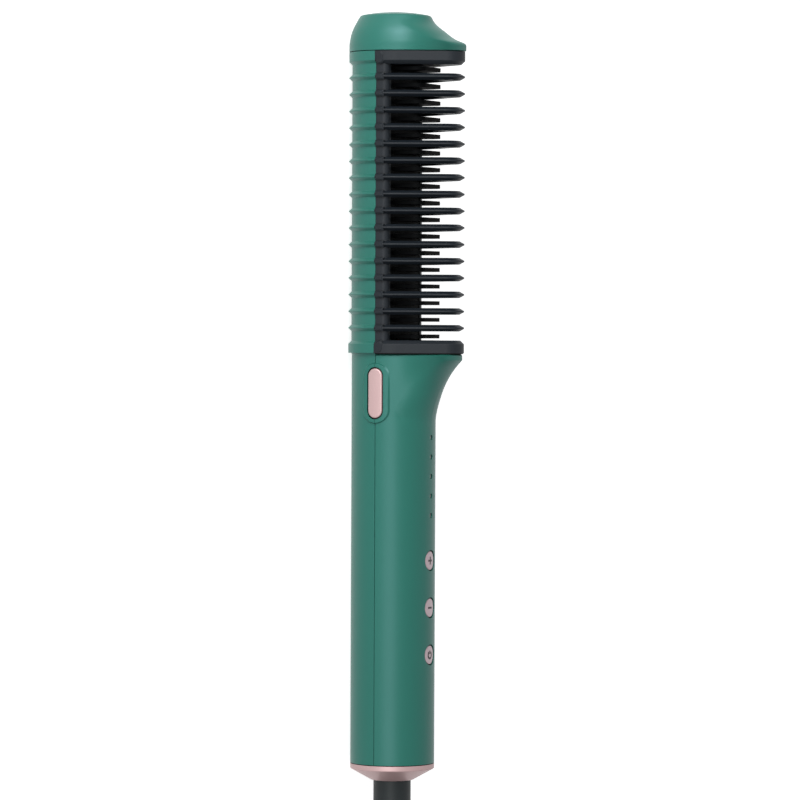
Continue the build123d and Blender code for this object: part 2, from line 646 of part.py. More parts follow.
def screws(places, seat):
    made = []
    for y, z in places:
        head = pin(SCREW_HEAD_RADIUS, (seat, seat + SCREW_HEAD), y, z)
        made.append(head + pin(SCREW_RADIUS, (seat - SCREW_BITE, seat + 0.4), y, z))
    return made


def heater_carrier():
    """Heat-proof tray that carries the heaters under the comb."""
    half, top = CARRIER_HALF_WIDTH, COMB_BASE[0] - LAP_GAP
    tray = block(CARRIER, (-half, half), CARRIER_Z)
    for side in (-1, 1):
        tray += block((CARRIER[0], top), sorted((side * half, side * (half - CARRIER_WALL))), CARRIER_Z)
    for y, z in CARRIER_SCREWS:
        tray -= pin(SCREW_RADIUS + 0.2, (CARRIER[0] - 1, CARRIER[1] + 1), y, z)
    return tray


def ceramic_heaters():
    half, reach = HEATER_HALF_WIDTH, HEATER_LENGTH / 2
    return [block(HEATER, (-half, half), (middle - reach, middle + reach)) for middle in HEATER_MIDDLES]


def heater_insulation():
    half, (low, high) = HEATER_HALF_WIDTH + 0.4, HEATER_Z
    return block(INSULATION, (-half, half), (low - 0.5, high + 0.5))


def heater_clips():
    """Bowed spring strips that press the insulation and the heaters to the comb."""
    made = []
    low, high = CLIP
    for middle in HEATER_MIDDLES:
        start, end = middle - CLIP_LENGTH / 2, middle + CLIP_LENGTH / 2
        strip = make_face([
            ThreePointArc((low, 0, start), (high, 0, middle), (low, 0, end)),
            Line((low, 0, end), (low, 0, end - 1)),
            ThreePointArc((low, 0, end - 1), (high - CLIP_SHEET, 0, middle), (low, 0, start + 1)),
            Line((low, 0, start + 1), (low, 0, start)),
        ])
        made.append(extrude(strip, CLIP_WIDTH / 2, dir=(0, 1, 0), both=True))
    return made


def thermistor():
    """A glass bead in the gap between the heaters."""
    return Pos(sum(HEATER) / 2, 0, sum(HEATER_Z) / 2) * Cylinder(0.6, HEATER_GAP - 1.6)


def thermal_fuse():
    x, y = COMB_BASE[0] - FUSE_RADIUS - 2 * LAP_GAP, HEATER_HALF_WIDTH + FUSE_RADIUS + 1
    fuse = Cylinder(FUSE_RADIUS, FUSE_LENGTH) + Cylinder(FUSE_LEG_RADIUS, FUSE_LENGTH + 6)
    return Pos(x, y, HEATER_Z[0] + 8) * fuse


def wire(points, radius, bend):
    path = FilletPolyline(*points, radius=bend)
    start = Plane(origin=path @ 0, z_dir=path % 0)
    return sweep(start * RegularPolygon(radius, WIRE_SIDES), path=path)


def heater_leads():
    """Insulated wires from the board to the heaters, under the guard's lower bar."""
    board, heater = sum(BOARD_X) / 2, sum(HEATER) / 2
    made = []
    for y in (-LEAD_Y, LEAD_Y):
        made.append(wire([
            (board, y, BOARD_Z[1] + 0.3),
            (WIRE_DROP, y, BOARD_Z[1] + 7),
            (WIRE_DROP, y, HEATER_Z[0] - 5),
            (heater, y, HEATER_Z[0] - 0.3),
        ], HEATER_WIRE_RADIUS, WIRE_BEND))
    return made


def supply_leads():
    """Insulated wires from the swivel's contacts to the board."""
    board, cup = sum(BOARD_X) / 2, CONTACT_CUP[1] + 0.2
    made = []
    for y in (-SUPPLY_Y, SUPPLY_Y):
        made.append(wire([
            (board + 1.6, y, cup),
            (board + 0.6, 1.1 * y, (cup + BOARD_Z[0]) / 2),
            (board, y, BOARD_Z[0] - 0.3),
        ], SUPPLY_WIRE_RADIUS, WIRE_BEND))
    return made


def swivel_boss():
    """Rotating end of the lead: a collar, its flange in the end cap and a spindle."""
    return turned([
        (0, RELIEF_TOP),
        (SWIVEL_RADIUS - 0.5, RELIEF_TOP),
        (SWIVEL_RADIUS, RELIEF_TOP + 0.5),
        (SWIVEL_RADIUS, FLANGE[0]),
        (FLANGE_RADIUS, FLANGE[0]),
        (FLANGE_RADIUS, FLANGE[1]),
        (SPINDLE_RADIUS, FLANGE[1]),
        (SPINDLE_RADIUS, SPINDLE_TOP),
        (0, SPINDLE_TOP),
    ])


def ring_spans():
    return [(start, start + RING_HEIGHT) for start in RING_STARTS]


def slip_rings():
    return [rod(RING_OUTER, span) - rod(SPINDLE_RADIUS + RING_FIT, span) for span in ring_spans()]


def contact_carrier():
    """Fixed cup round the spindle that holds the spring contacts."""
    inside = RING_OUTER + CONTACT_GAP + CONTACT[0] + LAP_GAP
    cup = rod(CONTACT_CUP_RADIUS, CONTACT_CUP) - rod(inside, (CONTACT_CUP[0] - 1, CONTACT_CUP[1] + 1))
    return chamfer(cup.edges().group_by(Axis.Z)[-1], 0.6)


def contact_brushes():
    """Sprung contacts, two to a ring."""
    deep, wide, tall = CONTACT
    near = RING_OUTER + CONTACT_GAP
    made = []
    for low, high in ring_spans():
        middle = (low + high) / 2
        for side in (-1, 1):
            x = sorted((side * near, side * (near + deep)))
            made.append(block(x, (-wide / 2, wide / 2), (middle - tall / 2, middle + tall / 2)))
    return made


def relief_radius(z):
    """The strain relief's radius at a height, before its grooves."""
    share = (z - RELIEF_TIP) / RELIEF_LENGTH
    return RELIEF_END_RADIUS + share * (RELIEF_ROOT_RADIUS - RELIEF_END_RADIUS)


def strain_relief():
    """Tapered rubber sleeve with grooves that let it bend."""
    outline = [(0, RELIEF_TIP), (RELIEF_END_RADIUS - 0.4, RELIEF_TIP), (RELIEF_END_RADIUS, RELIEF_TIP + 0.6)]
    step = (RELIEF_LENGTH - 10) / RELIEF_GROOVES
    for k in range(RELIEF_GROOVES):
        low = RELIEF_TIP + 4 + k * step
        for offset, depth in ((0, 0), (0.5, 1), (step / 2 - 0.5, 1), (step / 2, 0)):
            outline.append((relief_radius(low + offset) - depth * RELIEF_GROOVE_DEPTH, low + offset))
    outline += [(RELIEF_ROOT_RADIUS, RELIEF_TOP - 2), (RELIEF_ROOT_RADIUS, RELIEF_TOP), (0, RELIEF_TOP)]
    return turned(outline)


def lead_route():
    """The lead's free stretch: its hand-placed points and the bend radius at each."""
    on_table = Vector(0, HANK_FOLD + HANK_STEP, FIRST_LAYER)
    points = []
    for before_hank, across, up in LEAD_POINTS:
        across = on_table.Y if across is None else across
        if up is None:
            up = on_table.Z if across == on_table.Y else AXIS_HEIGHT
        points.append(Vector(HANK_X - before_hank, across, up))
    radii = []
    for before, here, after in zip(points, points[1:], points[2:]):
        turn = math.radians((here - before).get_angle(after - here))
        shorter = min((here - before).length, (after - here).length)
        radii.append(0.45 * shorter / math.tan(turn / 2))
    return points, radii


def cord():
    points, radii = lead_route()
    path = FilletPolyline(*points, radius=radii)
    print("lead: bend radii", [round(r, 1) for r in radii], "length", round(path.length, 1))
    start = Plane(origin=path @ 0, z_dir=path % 0)
    solid = sweep(start * Circle(CORD_RADIUS), path=path)
    full = math.pi * CORD_RADIUS**2 * path.length
    print("lead: volume over section times length", round(solid.volume / full, 4))
    return solid


def s_bend(start, end):
    """Two equal arcs from start to end that leave and arrive along the x axis."""
    run = end.X - start.X
    shift = Vector(0, end.Y - start.Y, end.Z - start.Z)
    turn = 2 * math.atan(shift.length / abs(run))
    radius = abs(run) / (2 * math.sin(turn))
    ahead = Vector(math.copysign(1, run), 0, 0)
    aside = shift.normalized()
    quarter = ahead * (radius * math.sin(turn / 2)) + aside * (radius * (1 - math.cos(turn / 2)))
    middle = (start + end) * 0.5
    return [ThreePointArc(start, start + quarter, middle), ThreePointArc(middle, end - quarter, end)]


def hank_edges():
    """The hank's loops as tangent arcs: in at layer one, out at two, in at three, out at four."""
    wide, tight = HANK_FOLD + HANK_STEP, HANK_FOLD
    # Each run: its side and half width, its layer at the start and at the end
    runs = [
        (wide, 0, 0), (-wide, 0, 0), (tight, 0, 0), (-tight, 0, 1),
        (tight, 1, 1), (-wide, 1, 1), (wide, 1, 2), (-wide, 2, 2),
        (tight, 2, 2), (-tight, 2, 3), (tight, 3, 3),
    ]
    first = Vector(HANK_X, wide, FIRST_LAYER)
    edges = [Line(first - Vector(LEAD_POINTS[-1][0], 0, 0), first)]
    for k, (y, low, high) in enumerate(runs):
        out = k % 2 == 0
        x = (HANK_X, HANK_X + HANK_RUN) if out else (HANK_X + HANK_RUN, HANK_X)
        z = [FIRST_LAYER + layer * HANK_LAYER for layer in (low, high)]
        waist = Vector(sum(x) / 2, y - math.copysign(HANK_WAIST, y), sum(z) / 2)
        edges += s_bend(Vector(x[0], y, z[0]), waist) + s_bend(waist, Vector(x[1], y, z[1]))
        after = runs[k + 1][0] if k + 1 < len(runs) else -wide
        reach = (abs(y) + abs(after)) / 2
        bulge = Vector(x[1] + (reach if out else -reach), (y + after) / 2, z[1])
        edges.append(ThreePointArc(Vector(x[1], y, z[1]), bulge, Vector(x[1], after, z[1])))
    start = Vector(HANK_X + HANK_RUN, -wide, FIRST_LAYER + 3 * HANK_LAYER)
    end = Vector(HANK_X + HANK_RUN - TAIL_RUN, PLUG_Y, plug_height())
    straight = Vector(end.X - 2 * CORD_RADIUS, end.Y, end.Z)
    return edges + s_bend(start, end) + [Line(end, straight)]


def plug_height():
    """Height of the plug's middle as it lies on the hank."""
    top = FIRST_LAYER + 3 * HANK_LAYER + CORD_RADIUS
    return top + TIE_GAP + PLUG_BODY[2] / 2


def plug_x():
    """Where the lead meets the plug's sleeve."""
    return HANK_X + HANK_RUN - TAIL_RUN - 2 * CORD_RADIUS


def least_gap(edges):
    """The smallest space between two turns of the hank, measured on points."""
    step, spots, travelled = 2.0, [], 0.0
    for edge in edges:
        count = max(2, round(edge.length / step))
        for k in range(count):
            spot = edge @ (k / count)
            spots.append((travelled + edge.length * k / count, spot.X, spot.Y, spot.Z))
        travelled += edge.length
    least = math.inf
    for i, (s, x, y, z) in enumerate(spots):
        for t, u, v, w in spots[i + 1:]:
            if t - s > 30.0:
                least = min(least, math.dist((x, y, z), (u, v, w)))
    return least - 2 * CORD_RADIUS


def cord_hank():
    """The rest of the lead, folded into a hank; its section has six sides."""
    edges = hank_edges()
    path = Wire(edges)
    print("hank: least gap", round(least_gap(edges), 2), "length", round(path.length, 1))
    start = Plane(origin=path @ 0, x_dir=(0, 1, 0), z_dir=path % 0)
    return sweep(start * RegularPolygon(CORD_RADIUS, HANK_SIDES), path=path)


def waist_sag():
    """How far the outer runs spread from the waist's middle to the tie's edge."""
    turn = 2 * math.atan(2 * HANK_WAIST / HANK_RUN)
    radius = HANK_RUN / (4 * math.sin(turn))
    return radius - math.sqrt(radius**2 - (TIE_WIDTH / 2) ** 2)


def cord_tie():
    """A hook-and-loop strap round the hank's waist."""
    half_width = HANK_FOLD + HANK_STEP - HANK_WAIST + CORD_RADIUS + TIE_GAP + waist_sag()
    low, high = TIE_THICKNESS, FIRST_LAYER + 3 * HANK_LAYER + CORD_RADIUS + TIE_GAP
    tall, middle = high - low, (high + low) / 2
    corner = CORD_RADIUS + TIE_GAP
    inner = RectangleRounded(2 * half_width, tall, corner)
    outer_size = (2 * (half_width + TIE_THICKNESS), tall + 2 * TIE_THICKNESS)
    outer = RectangleRounded(*outer_size, corner + TIE_THICKNESS)
    place = Plane(origin=(HANK_X + HANK_RUN / 2 - TIE_WIDTH / 2, 0, middle), x_dir=(0, 1, 0), z_dir=(1, 0, 0))
    return extrude(place * (outer - inner), TIE_WIDTH)


def across_plug(x):
    """The plane across the plug at a distance along the table."""
    return Plane(origin=(x, PLUG_Y, plug_height()), x_dir=(0, 1, 0), z_dir=(-1, 0, 0))


def plug_body():
    """Flat two-pin plug lying on the hank, its sleeve towards the lead."""
    length, width, thick = PLUG_BODY
    sleeve_end = plug_x()
    back = sleeve_end - PLUG_SLEEVE
    small = across_plug(back) * RectangleRounded(*PLUG_REAR, 3.5)
    large = across_plug(back - 0.6 * length) * RectangleRounded(width, thick, 5.0)
    body = loft([small, large], ruled=True) + extrude(large, 0.4 * length)
    body = chamfer(body.edges().group_by(Axis.X)[0], 1.0)
    tip = across_plug(sleeve_end) * Circle(PLUG_SLEEVE_RADIUS - 0.7)
    return body + loft([tip, across_plug(back - 0.5) * Circle(PLUG_SLEEVE_RADIUS)])


def plug_pins():
    """Two round contact pins."""
    face = plug_x() - PLUG_SLEEVE - PLUG_BODY[0]
    made = []
    for side in (-1, 1):
        y = PLUG_Y + side * PIN_SPACING / 2
        root = Plane(origin=(face, y, plug_height()), z_dir=(-1, 0, 0))
        made.append(chamfer(extrude(root * Circle(PIN_RADIUS), PIN_LENGTH).edges().group_by(Axis.X)[0], 0.8))
    return made


BRUSH = {
    "back_shell": back_shell,
    "front_shell": front_shell,
    "top_cap": top_cap,
    "comb_guard": comb_guard,
    "heating_comb": heating_comb,
    "end_cap": end_cap,
    "side_insert_left": lambda: side_insert(1),
    "side_insert_right": lambda: side_insert(-1),
    "led_guide": led_guide,
    "control_board": control_board,
    "tact_switches": tact_switches,
    "led_chips": led_chips,
    "film_capacitor": film_capacitor,
    "reservoir_capacitor": reservoir_capacitor,
    "triac": triac,
    "microcontroller": microcontroller,
    "board_screws": lambda: screws(BOARD_SCREWS, BOARD_X[1]),
    "heater_carrier": heater_carrier,
    "ceramic_heaters": ceramic_heaters,
    "heater_insulation": heater_insulation,
    "heater_clips": heater_clips,
    "thermistor": thermistor,
    "thermal_fuse": thermal_fuse,
    "carrier_screws": lambda: screws(CARRIER_SCREWS, CARRIER[1]),
    "heater_leads": heater_leads,
    "supply_leads": supply_leads,
    "swivel_boss": swivel_boss,
    "slip_rings": slip_rings,
    "contact_carrier": contact_carrier,
    "contact_brushes": contact_brushes,
    "strain_relief": strain_relief,
}
ON_THE_TABLE = {
    "cord": cord,
    "cord_hank": cord_hank,
    "cord_tie": cord_tie,
    "plug_body": plug_body,
    "plug_pins": plug_pins,
}


def write(node, shape, place=Location()):
    solids = shape if isinstance(shape, list) else [shape]
    solids = [place * solid for piece in solids for solid in piece.solids()]
    whole = solids[0] if len(solids) == 1 else Compound(children=solids)
    export_step(whole, f"parts/{node}.step")


def main():
    os.makedirs("parts", exist_ok=True)
    for node, make in BRUSH.items():
        write(node, make(), LAID)
    for node, height in BUTTON_HEIGHTS.items():
        write(node, button(height), LAID)
    for node, make in ON_THE_TABLE.items():
        write(node, make())


main()
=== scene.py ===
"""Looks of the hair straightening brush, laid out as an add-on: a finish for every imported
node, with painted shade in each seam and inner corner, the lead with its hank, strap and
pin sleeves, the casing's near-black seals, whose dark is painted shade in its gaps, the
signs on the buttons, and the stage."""

import math

import bpy
from mathutils import Matrix, Vector


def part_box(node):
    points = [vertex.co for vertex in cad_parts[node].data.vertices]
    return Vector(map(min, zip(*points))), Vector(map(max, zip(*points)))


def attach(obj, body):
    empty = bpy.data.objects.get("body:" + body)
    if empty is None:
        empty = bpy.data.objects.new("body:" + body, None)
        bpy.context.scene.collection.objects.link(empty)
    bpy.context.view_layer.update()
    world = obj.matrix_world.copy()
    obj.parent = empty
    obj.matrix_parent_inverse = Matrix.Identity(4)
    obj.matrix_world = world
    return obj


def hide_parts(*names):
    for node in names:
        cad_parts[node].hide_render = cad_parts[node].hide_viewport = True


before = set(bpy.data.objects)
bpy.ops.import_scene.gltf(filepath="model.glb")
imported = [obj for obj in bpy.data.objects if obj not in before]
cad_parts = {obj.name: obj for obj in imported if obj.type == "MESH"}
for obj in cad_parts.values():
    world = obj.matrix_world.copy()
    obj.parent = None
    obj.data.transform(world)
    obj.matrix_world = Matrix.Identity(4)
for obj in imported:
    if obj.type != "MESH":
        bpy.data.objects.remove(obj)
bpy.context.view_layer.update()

bl_info = {
    "name": "Hair straightening brush",
    "version": (1, 0, 0),
    "blender": (4, 5, 0),
    "location": "View3D > Sidebar > Brush",
    "description": "Finishes the packed brush and builds its lead, strap, seals, button signs and stage",
    "category": "Object",
}

MM = 0.001

# Places that the frame gives
CASING_LOW, CASING_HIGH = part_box("end_cap")
HANDLE_END = CASING_HIGH.x
HANDLE_RADIUS = (CASING_HIGH.y - CASING_LOW.y) / 2
AXIS_HEIGHT = (CASING_HIGH.z + CASING_LOW.z) / 2
RELIEF_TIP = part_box("strain_relief")[1].x
HEAD_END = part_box("top_cap")[0].x

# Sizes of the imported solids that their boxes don't give
DOME_RADIUS = 66.0 * MM  # of the ball that the head's end is a part of
SEAM = 0.3 * MM  # between the shells and the end cap
PLUG_BITE = 8.0 * MM  # how far the lead's end reaches into the plug

# Where the head's sides are rounded across, from nothing to fully: height over the axis,
# place along the brush, and how far a face looks outwards
SIDE_HEIGHTS = (1.0 * MM, 7.0 * MM)
SIDE_PLACES = (-26.0 * MM, -40.0 * MM)
SIDE_FACINGS = (0.2, 0.6)

# Sizes of the small pieces
STRAP_CORNER = 3.2 * MM  # rounding of the strap where it turns round the hank
STRAP_END = 0.3  # where the strap's end stops, as a share of the hank's height
SELVEDGE = 0.28  # rounding of the strap's edges, as a share of its thickness
PIN_SLEEVE = (0.12 * MM, 9.5 * MM, 0.1 * MM)  # wall, length and rounding of the edges
SEAL_INSET = 0.1 * MM  # how far the end cap's seal lies under the casing's surface
SEAL_WALL = 1.2 * MM
HEAD_SEAL_INSET = 0.4 * MM
PRINT_LIFT = 0.55  # how far the print is raised, as a share of its thickness
NEAR = 0.02 * MM
SMOOTH_ANGLE = math.radians(40.0)

# The stage
FLOOR_SIZE = 12.0
FLOOR_SINK = 0.2 * MM
WARM_LIGHT = (1.0, 0.8, 0.5, 1.0)
COOL_LIGHT = (0.95, 1.0, 1.05, 1.0)
HEAD_LAMP = (-0.58, 0.81, -0.02)  # shares of its direction: past the head, to the camera, to the fins


def linear(red, green, blue):
    """A colour as it shows on screen, in 0 to 255, to the values that Blender mixes."""
    shares = [value / 255 for value in (red, green, blue)]
    return [s / 12.92 if s <= 0.04045 else ((s + 0.055) / 1.055) ** 2.4 for s in shares] + [1.0]


def colour_property(name, description, shown):
    return bpy.props.FloatVectorProperty(
        name=name, description=description, default=linear(*shown), size=4, subtype="COLOR", min=0.0, max=1.0)


def length_property(name, description, default):
    return bpy.props.FloatProperty(
        name=name, description=description, default=default, unit="LENGTH", subtype="DISTANCE", precision=5)


def extent_property(name, description, default):
    return bpy.props.FloatVectorProperty(
        name=name, description=description, default=default, size=2, unit="LENGTH", precision=5)


def angle_property(name, description, degrees):
    return bpy.props.FloatProperty(
        name=name, description=description, default=math.radians(degrees), unit="ROTATION", subtype="ANGLE")


def strength_property(name, description, default, unit="NONE"):
    return bpy.props.FloatProperty(name=name, description=description, default=default, unit=unit)


class BrushColours(bpy.types.PropertyGroup):
    """Colours of the finishes."""

    casing: colour_property("Casing", "Satin green of the shells and the top cap", (32, 99, 86))
    guard: colour_property("Guard", "Black of the fins, rails and bars", (18, 24, 30))
    comb: colour_property("Comb", "Dark coating of the heated comb", (5, 6, 7))
    trim: colour_property("Trim", "Pearl rose gold of the end cap and side trims", (184, 155, 155))
    button: colour_property("Buttons", "Greyer pearl of the buttons", (178, 158, 164))
    sign: colour_property("Signs", "Printed signs on the buttons", (30, 22, 24))
    lens: colour_property("Lamps", "Smoked light pipes", (24, 40, 38))
    swivel: colour_property("Swivel", "Collar that the lead turns on", (20, 28, 30))
    cord: colour_property("Lead", "Rubber of the lead, its sleeve and plug", (34, 38, 41))
    tie: colour_property("Tie", "Woven strap round the hank", (34, 35, 38))


class LeadSizes(bpy.types.PropertyGroup):
    """Sizes of the lead and of its hank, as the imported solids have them."""

    length: length_property("Length", "From the sleeve to the plug", 1.80)
    radius: length_property("Radius", "Half the lead's thickness", 2.5 * MM)
    fold: length_property("Fold", "Radius of the inner loops' folds", 15.1 * MM)
    step: length_property("Step", "From loop to loop in one layer", 6.5 * MM)
    layer: length_property("Layer", "From layer to layer", 5.6 * MM)
    first_layer: length_property("First layer", "Height of the lowest turns' middle", 3.65 * MM)
    run: length_property("Run", "Length between the folds", 90.0 * MM)
    waist: length_property("Waist", "How far the tie draws the runs in", 11.8 * MM)
    tail: length_property("Tail", "From the last fold back to the plug", 46.0 * MM)
    lead_in: length_property("Lead in", "Distance from the sleeve's end to the hank", 84.0 * MM)
    strap: length_property("Strap", "Thickness of the strap, less than its packed solid's", 0.72 * MM)


class SignSizes(bpy.types.PropertyGroup):
    """Sizes of the signs on the buttons."""

    arm: length_property("Arm", "Half the length of the plus and minus bars", 1.5 * MM)
    line: length_property("Line", "Width of a printed line", 0.75 * MM)
    ring: length_property("Ring", "Radius of the power sign's ring", 1.35 * MM)
    opening: length_property("Opening", "Half the width of the ring's opening", 0.837 * MM)
    bar: length_property("Bar", "From the ring's middle to the middle of the bar in its opening", 1.0125 * MM)
    ink: length_property("Ink", "Thickness of the print", 0.04 * MM)


class StageSettings(bpy.types.PropertyGroup):
    """Camera, lamps and floor."""

    turn: angle_property("Turn", "Camera's height angle round the brush", 26.3)
    distance: length_property("Distance", "From the brush's axis to the camera", 1.65)
    level: length_property("Level", "Distance from the end cap at which the camera stands", 175.0 * MM)
    aim: length_property("Aim", "Distance from the end cap at the picture's middle", 146.1 * MM)
    aside: length_property("Aside", "How far the picture's middle is from the axis", 2.42 * MM)
    roll: angle_property("Roll", "How far the brush leans in the picture", 0.25)
    lens: strength_property("Lens", "Focal length", 193.0, unit="CAMERA")
    ambient: strength_property("Ambient", "Strength of the light from all round", 0.22)
    floor_glow: strength_property("Floor glow", "Lift of the floor to white", 0.78)
    key_power: strength_property("Key power", "Power of the softbox over the handle", 3.1, unit="POWER")
    key_extent: extent_property("Key extent", "Length and width of the softbox over the handle", (0.8, 0.5))
    key_distance: length_property("Key distance", "From the brush's axis to that softbox", 0.9)
    key_place: length_property("Key place", "How far past the handle's end it is centred", 20.0 * MM)
    key_lean: angle_property("Key lean", "How far it leans from the camera to the floor", 9.0)
    head_power: strength_property("Head power", "Power of the softbox past the head", 6.7, unit="POWER")
    head_extent: extent_property("Head extent", "Length and width of the softbox past the head", (0.45, 0.5))
    head_distance: length_property("Head distance", "From the head to that softbox", 0.8)
    head_place: length_property("Head place", "Distance from the end cap at which it aims", 285.0 * MM)


# Shader groups, each built once

def new_group(name, inputs, outputs):
    """A shader group with its sockets, its nodes and links ready to be filled."""
    group = bpy.data.node_groups.new(name, "ShaderNodeTree")
    for label, kind, default in inputs:
        socket = group.interface.new_socket(label, in_out="INPUT", socket_type=kind)
        socket.default_value = default
    for label, kind in outputs:
        group.interface.new_socket(label, in_out="OUTPUT", socket_type=kind)
    return group, group.nodes.new("NodeGroupInput"), group.nodes.new("NodeGroupOutput")


def add(tree, kind, **settings):
    """A node with its settings; a setting named after an input is given to that input."""
    node = tree.nodes.new(kind)
    for name, value in settings.items():
        label = name.replace("_", " ")
        if hasattr(node, name):
            setattr(node, name, value)
        else:
            node.inputs[label].default_value = value
    return node


def math_node(tree, operation, first, second):
    """A math node on two sources, each a socket or a number."""
    node = add(tree, "ShaderNodeMath", operation=operation)
    for socket, source in zip(node.inputs, (first, second)):
        if isinstance(source, (int, float)):
            socket.default_value = source
        else:
            tree.links.new(source, socket)
    return node.outputs[0]


def vector_node(tree, operation, first, second=None):
    """A vector math node on sockets or fixed vectors."""
    node = add(tree, "ShaderNodeVectorMath", operation=operation)
    for socket, source in zip(node.inputs, (first, second)):
        if isinstance(source, tuple):
            socket.default_value = source
        elif source is not None:
            tree.links.new(source, socket)
    return node.outputs["Vector"]


def scaled(tree, vector, factor):
    """A vector times a number, both from sockets."""
    node = add(tree, "ShaderNodeVectorMath", operation="SCALE")
    tree.links.new(vector, node.inputs["Vector"])
    tree.links.new(factor, node.inputs["Scale"])
    return node.outputs["Vector"]


def blended(tree, facing, other, mask):
    """One direction turned to another as far as the mask says."""
    change = scaled(tree, vector_node(tree, "SUBTRACT", other, facing), mask)
    return vector_node(tree, "NORMALIZE", vector_node(tree, "ADD", facing, change))


def moulded_grain():
    """Height of the fine texture that a mould leaves: a grain with slow waves under it."""
    group, given, out = new_group(
        "Moulded grain",
        [("Scale", "NodeSocketFloat", 1500.0), ("Waves", "NodeSocketFloat", 0.3)],
        [("Height", "NodeSocketFloat")])
    place = add(group, "ShaderNodeTexCoord").outputs["Object"]
    fine = add(group, "ShaderNodeTexNoise", Detail=2.0, Roughness=0.6)
    slow = add(group, "ShaderNodeTexNoise", Scale=60.0, Detail=1.0)
    for noise in (fine, slow):
        group.links.new(place, noise.inputs["Vector"])
    group.links.new(given.outputs["Scale"], fine.inputs["Scale"])
    waves = math_node(group, "MULTIPLY", slow.outputs["Fac"], given.outputs["Waves"])
    group.links.new(math_node(group, "ADD", fine.outputs["Fac"], waves), out.inputs["Height"])
    return group


def strap_weave():
    """Height of a woven strap: ribs across and along it, with some fuzz."""
    group, given, out = new_group(
        "Strap weave",
        [("Scale", "NodeSocketFloat", 5200.0), ("Waves", "NodeSocketFloat", 0.3)],
        [("Height", "NodeSocketFloat")])
    place = add(group, "ShaderNodeTexCoord").outputs["Object"]
    spot = add(group, "ShaderNodeSeparateXYZ")
    group.links.new(place, spot.inputs[0])
    round_hank = math_node(group, "ADD", spot.outputs["Y"], spot.outputs["Z"])
    ribs = [
        math_node(group, "SINE", math_node(group, "MULTIPLY", source, given.outputs["Scale"]), 0.0)
        for source in (spot.outputs["X"], round_hank)
    ]
    fuzz = add(group, "ShaderNodeTexNoise", Scale=2600.0, Detail=3.0)
    group.links.new(place, fuzz.inputs["Vector"])
    loose = math_node(group, "MULTIPLY", fuzz.outputs["Fac"], given.outputs["Waves"])
    crossed = math_node(group, "MULTIPLY", *ribs)
    group.links.new(math_node(group, "ADD", crossed, loose), out.inputs["Height"])
    return group


def colour_drift():
    """A colour that is a little lighter and darker from place to place, as on paint and
    plastic."""
    group, given, out = new_group(
        "Colour drift",
        [("Colour", "NodeSocketColor", (0.5, 0.5, 0.5, 1.0)), ("Amount", "NodeSocketFloat", 0.06),
         ("Scale", "NodeSocketFloat", 45.0)],
        [("Colour", "NodeSocketColor")])
    place = add(group, "ShaderNodeTexCoord").outputs["Object"]
    noise = add(group, "ShaderNodeTexNoise", Detail=4.0, Roughness=0.55)
    group.links.new(place, noise.inputs["Vector"])
    group.links.new(given.outputs["Scale"], noise.inputs["Scale"])
    centred = math_node(group, "SUBTRACT", noise.outputs["Fac"], 0.5)
    swing = math_node(group, "MULTIPLY", centred, given.outputs["Amount"])
    value = math_node(group, "ADD", swing, 1.0)
    shade = add(group, "ShaderNodeHueSaturation")
    group.links.new(value, shade.inputs["Value"])
    group.links.new(given.outputs["Colour"], shade.inputs["Color"])
    group.links.new(shade.outputs["Color"], out.inputs["Colour"])
    return group


def handled_gloss():
    """Roughness that changes over the surface, as it does where hands have held it."""
    group, given, out = new_group(
        "Handled gloss",
        [("Roughness", "NodeSocketFloat", 0.4), ("Spread", "NodeSocketFloat", 0.08)],
        [("Roughness", "NodeSocketFloat")])
    place = add(group, "ShaderNodeTexCoord").outputs["Object"]
    noise = add(group, "ShaderNodeTexNoise", Scale=35.0, Detail=5.0, Roughness=0.65)
    group.links.new(place, noise.inputs["Vector"])
    centred = math_node(group, "SUBTRACT", noise.outputs["Fac"], 0.5)
    swing = math_node(group, "MULTIPLY", centred, given.outputs["Spread"])
    group.links.new(math_node(group, "ADD", swing, given.outputs["Roughness"]), out.inputs["Roughness"])
    return group


def softened_edges():
    """The surface's direction with every sharp edge rounded a little, as a mould leaves it."""
    group, given, out = new_group(
        "Softened edges", [("Radius", "NodeSocketFloat", 0.3 * MM)], [("Normal", "NodeSocketVector")])
    rounding = add(group, "ShaderNodeBevel", samples=6)
    group.links.new(given.outputs["Radius"], rounding.inputs["Radius"])
    group.links.new(rounding.outputs["Normal"], out.inputs["Normal"])
    return group


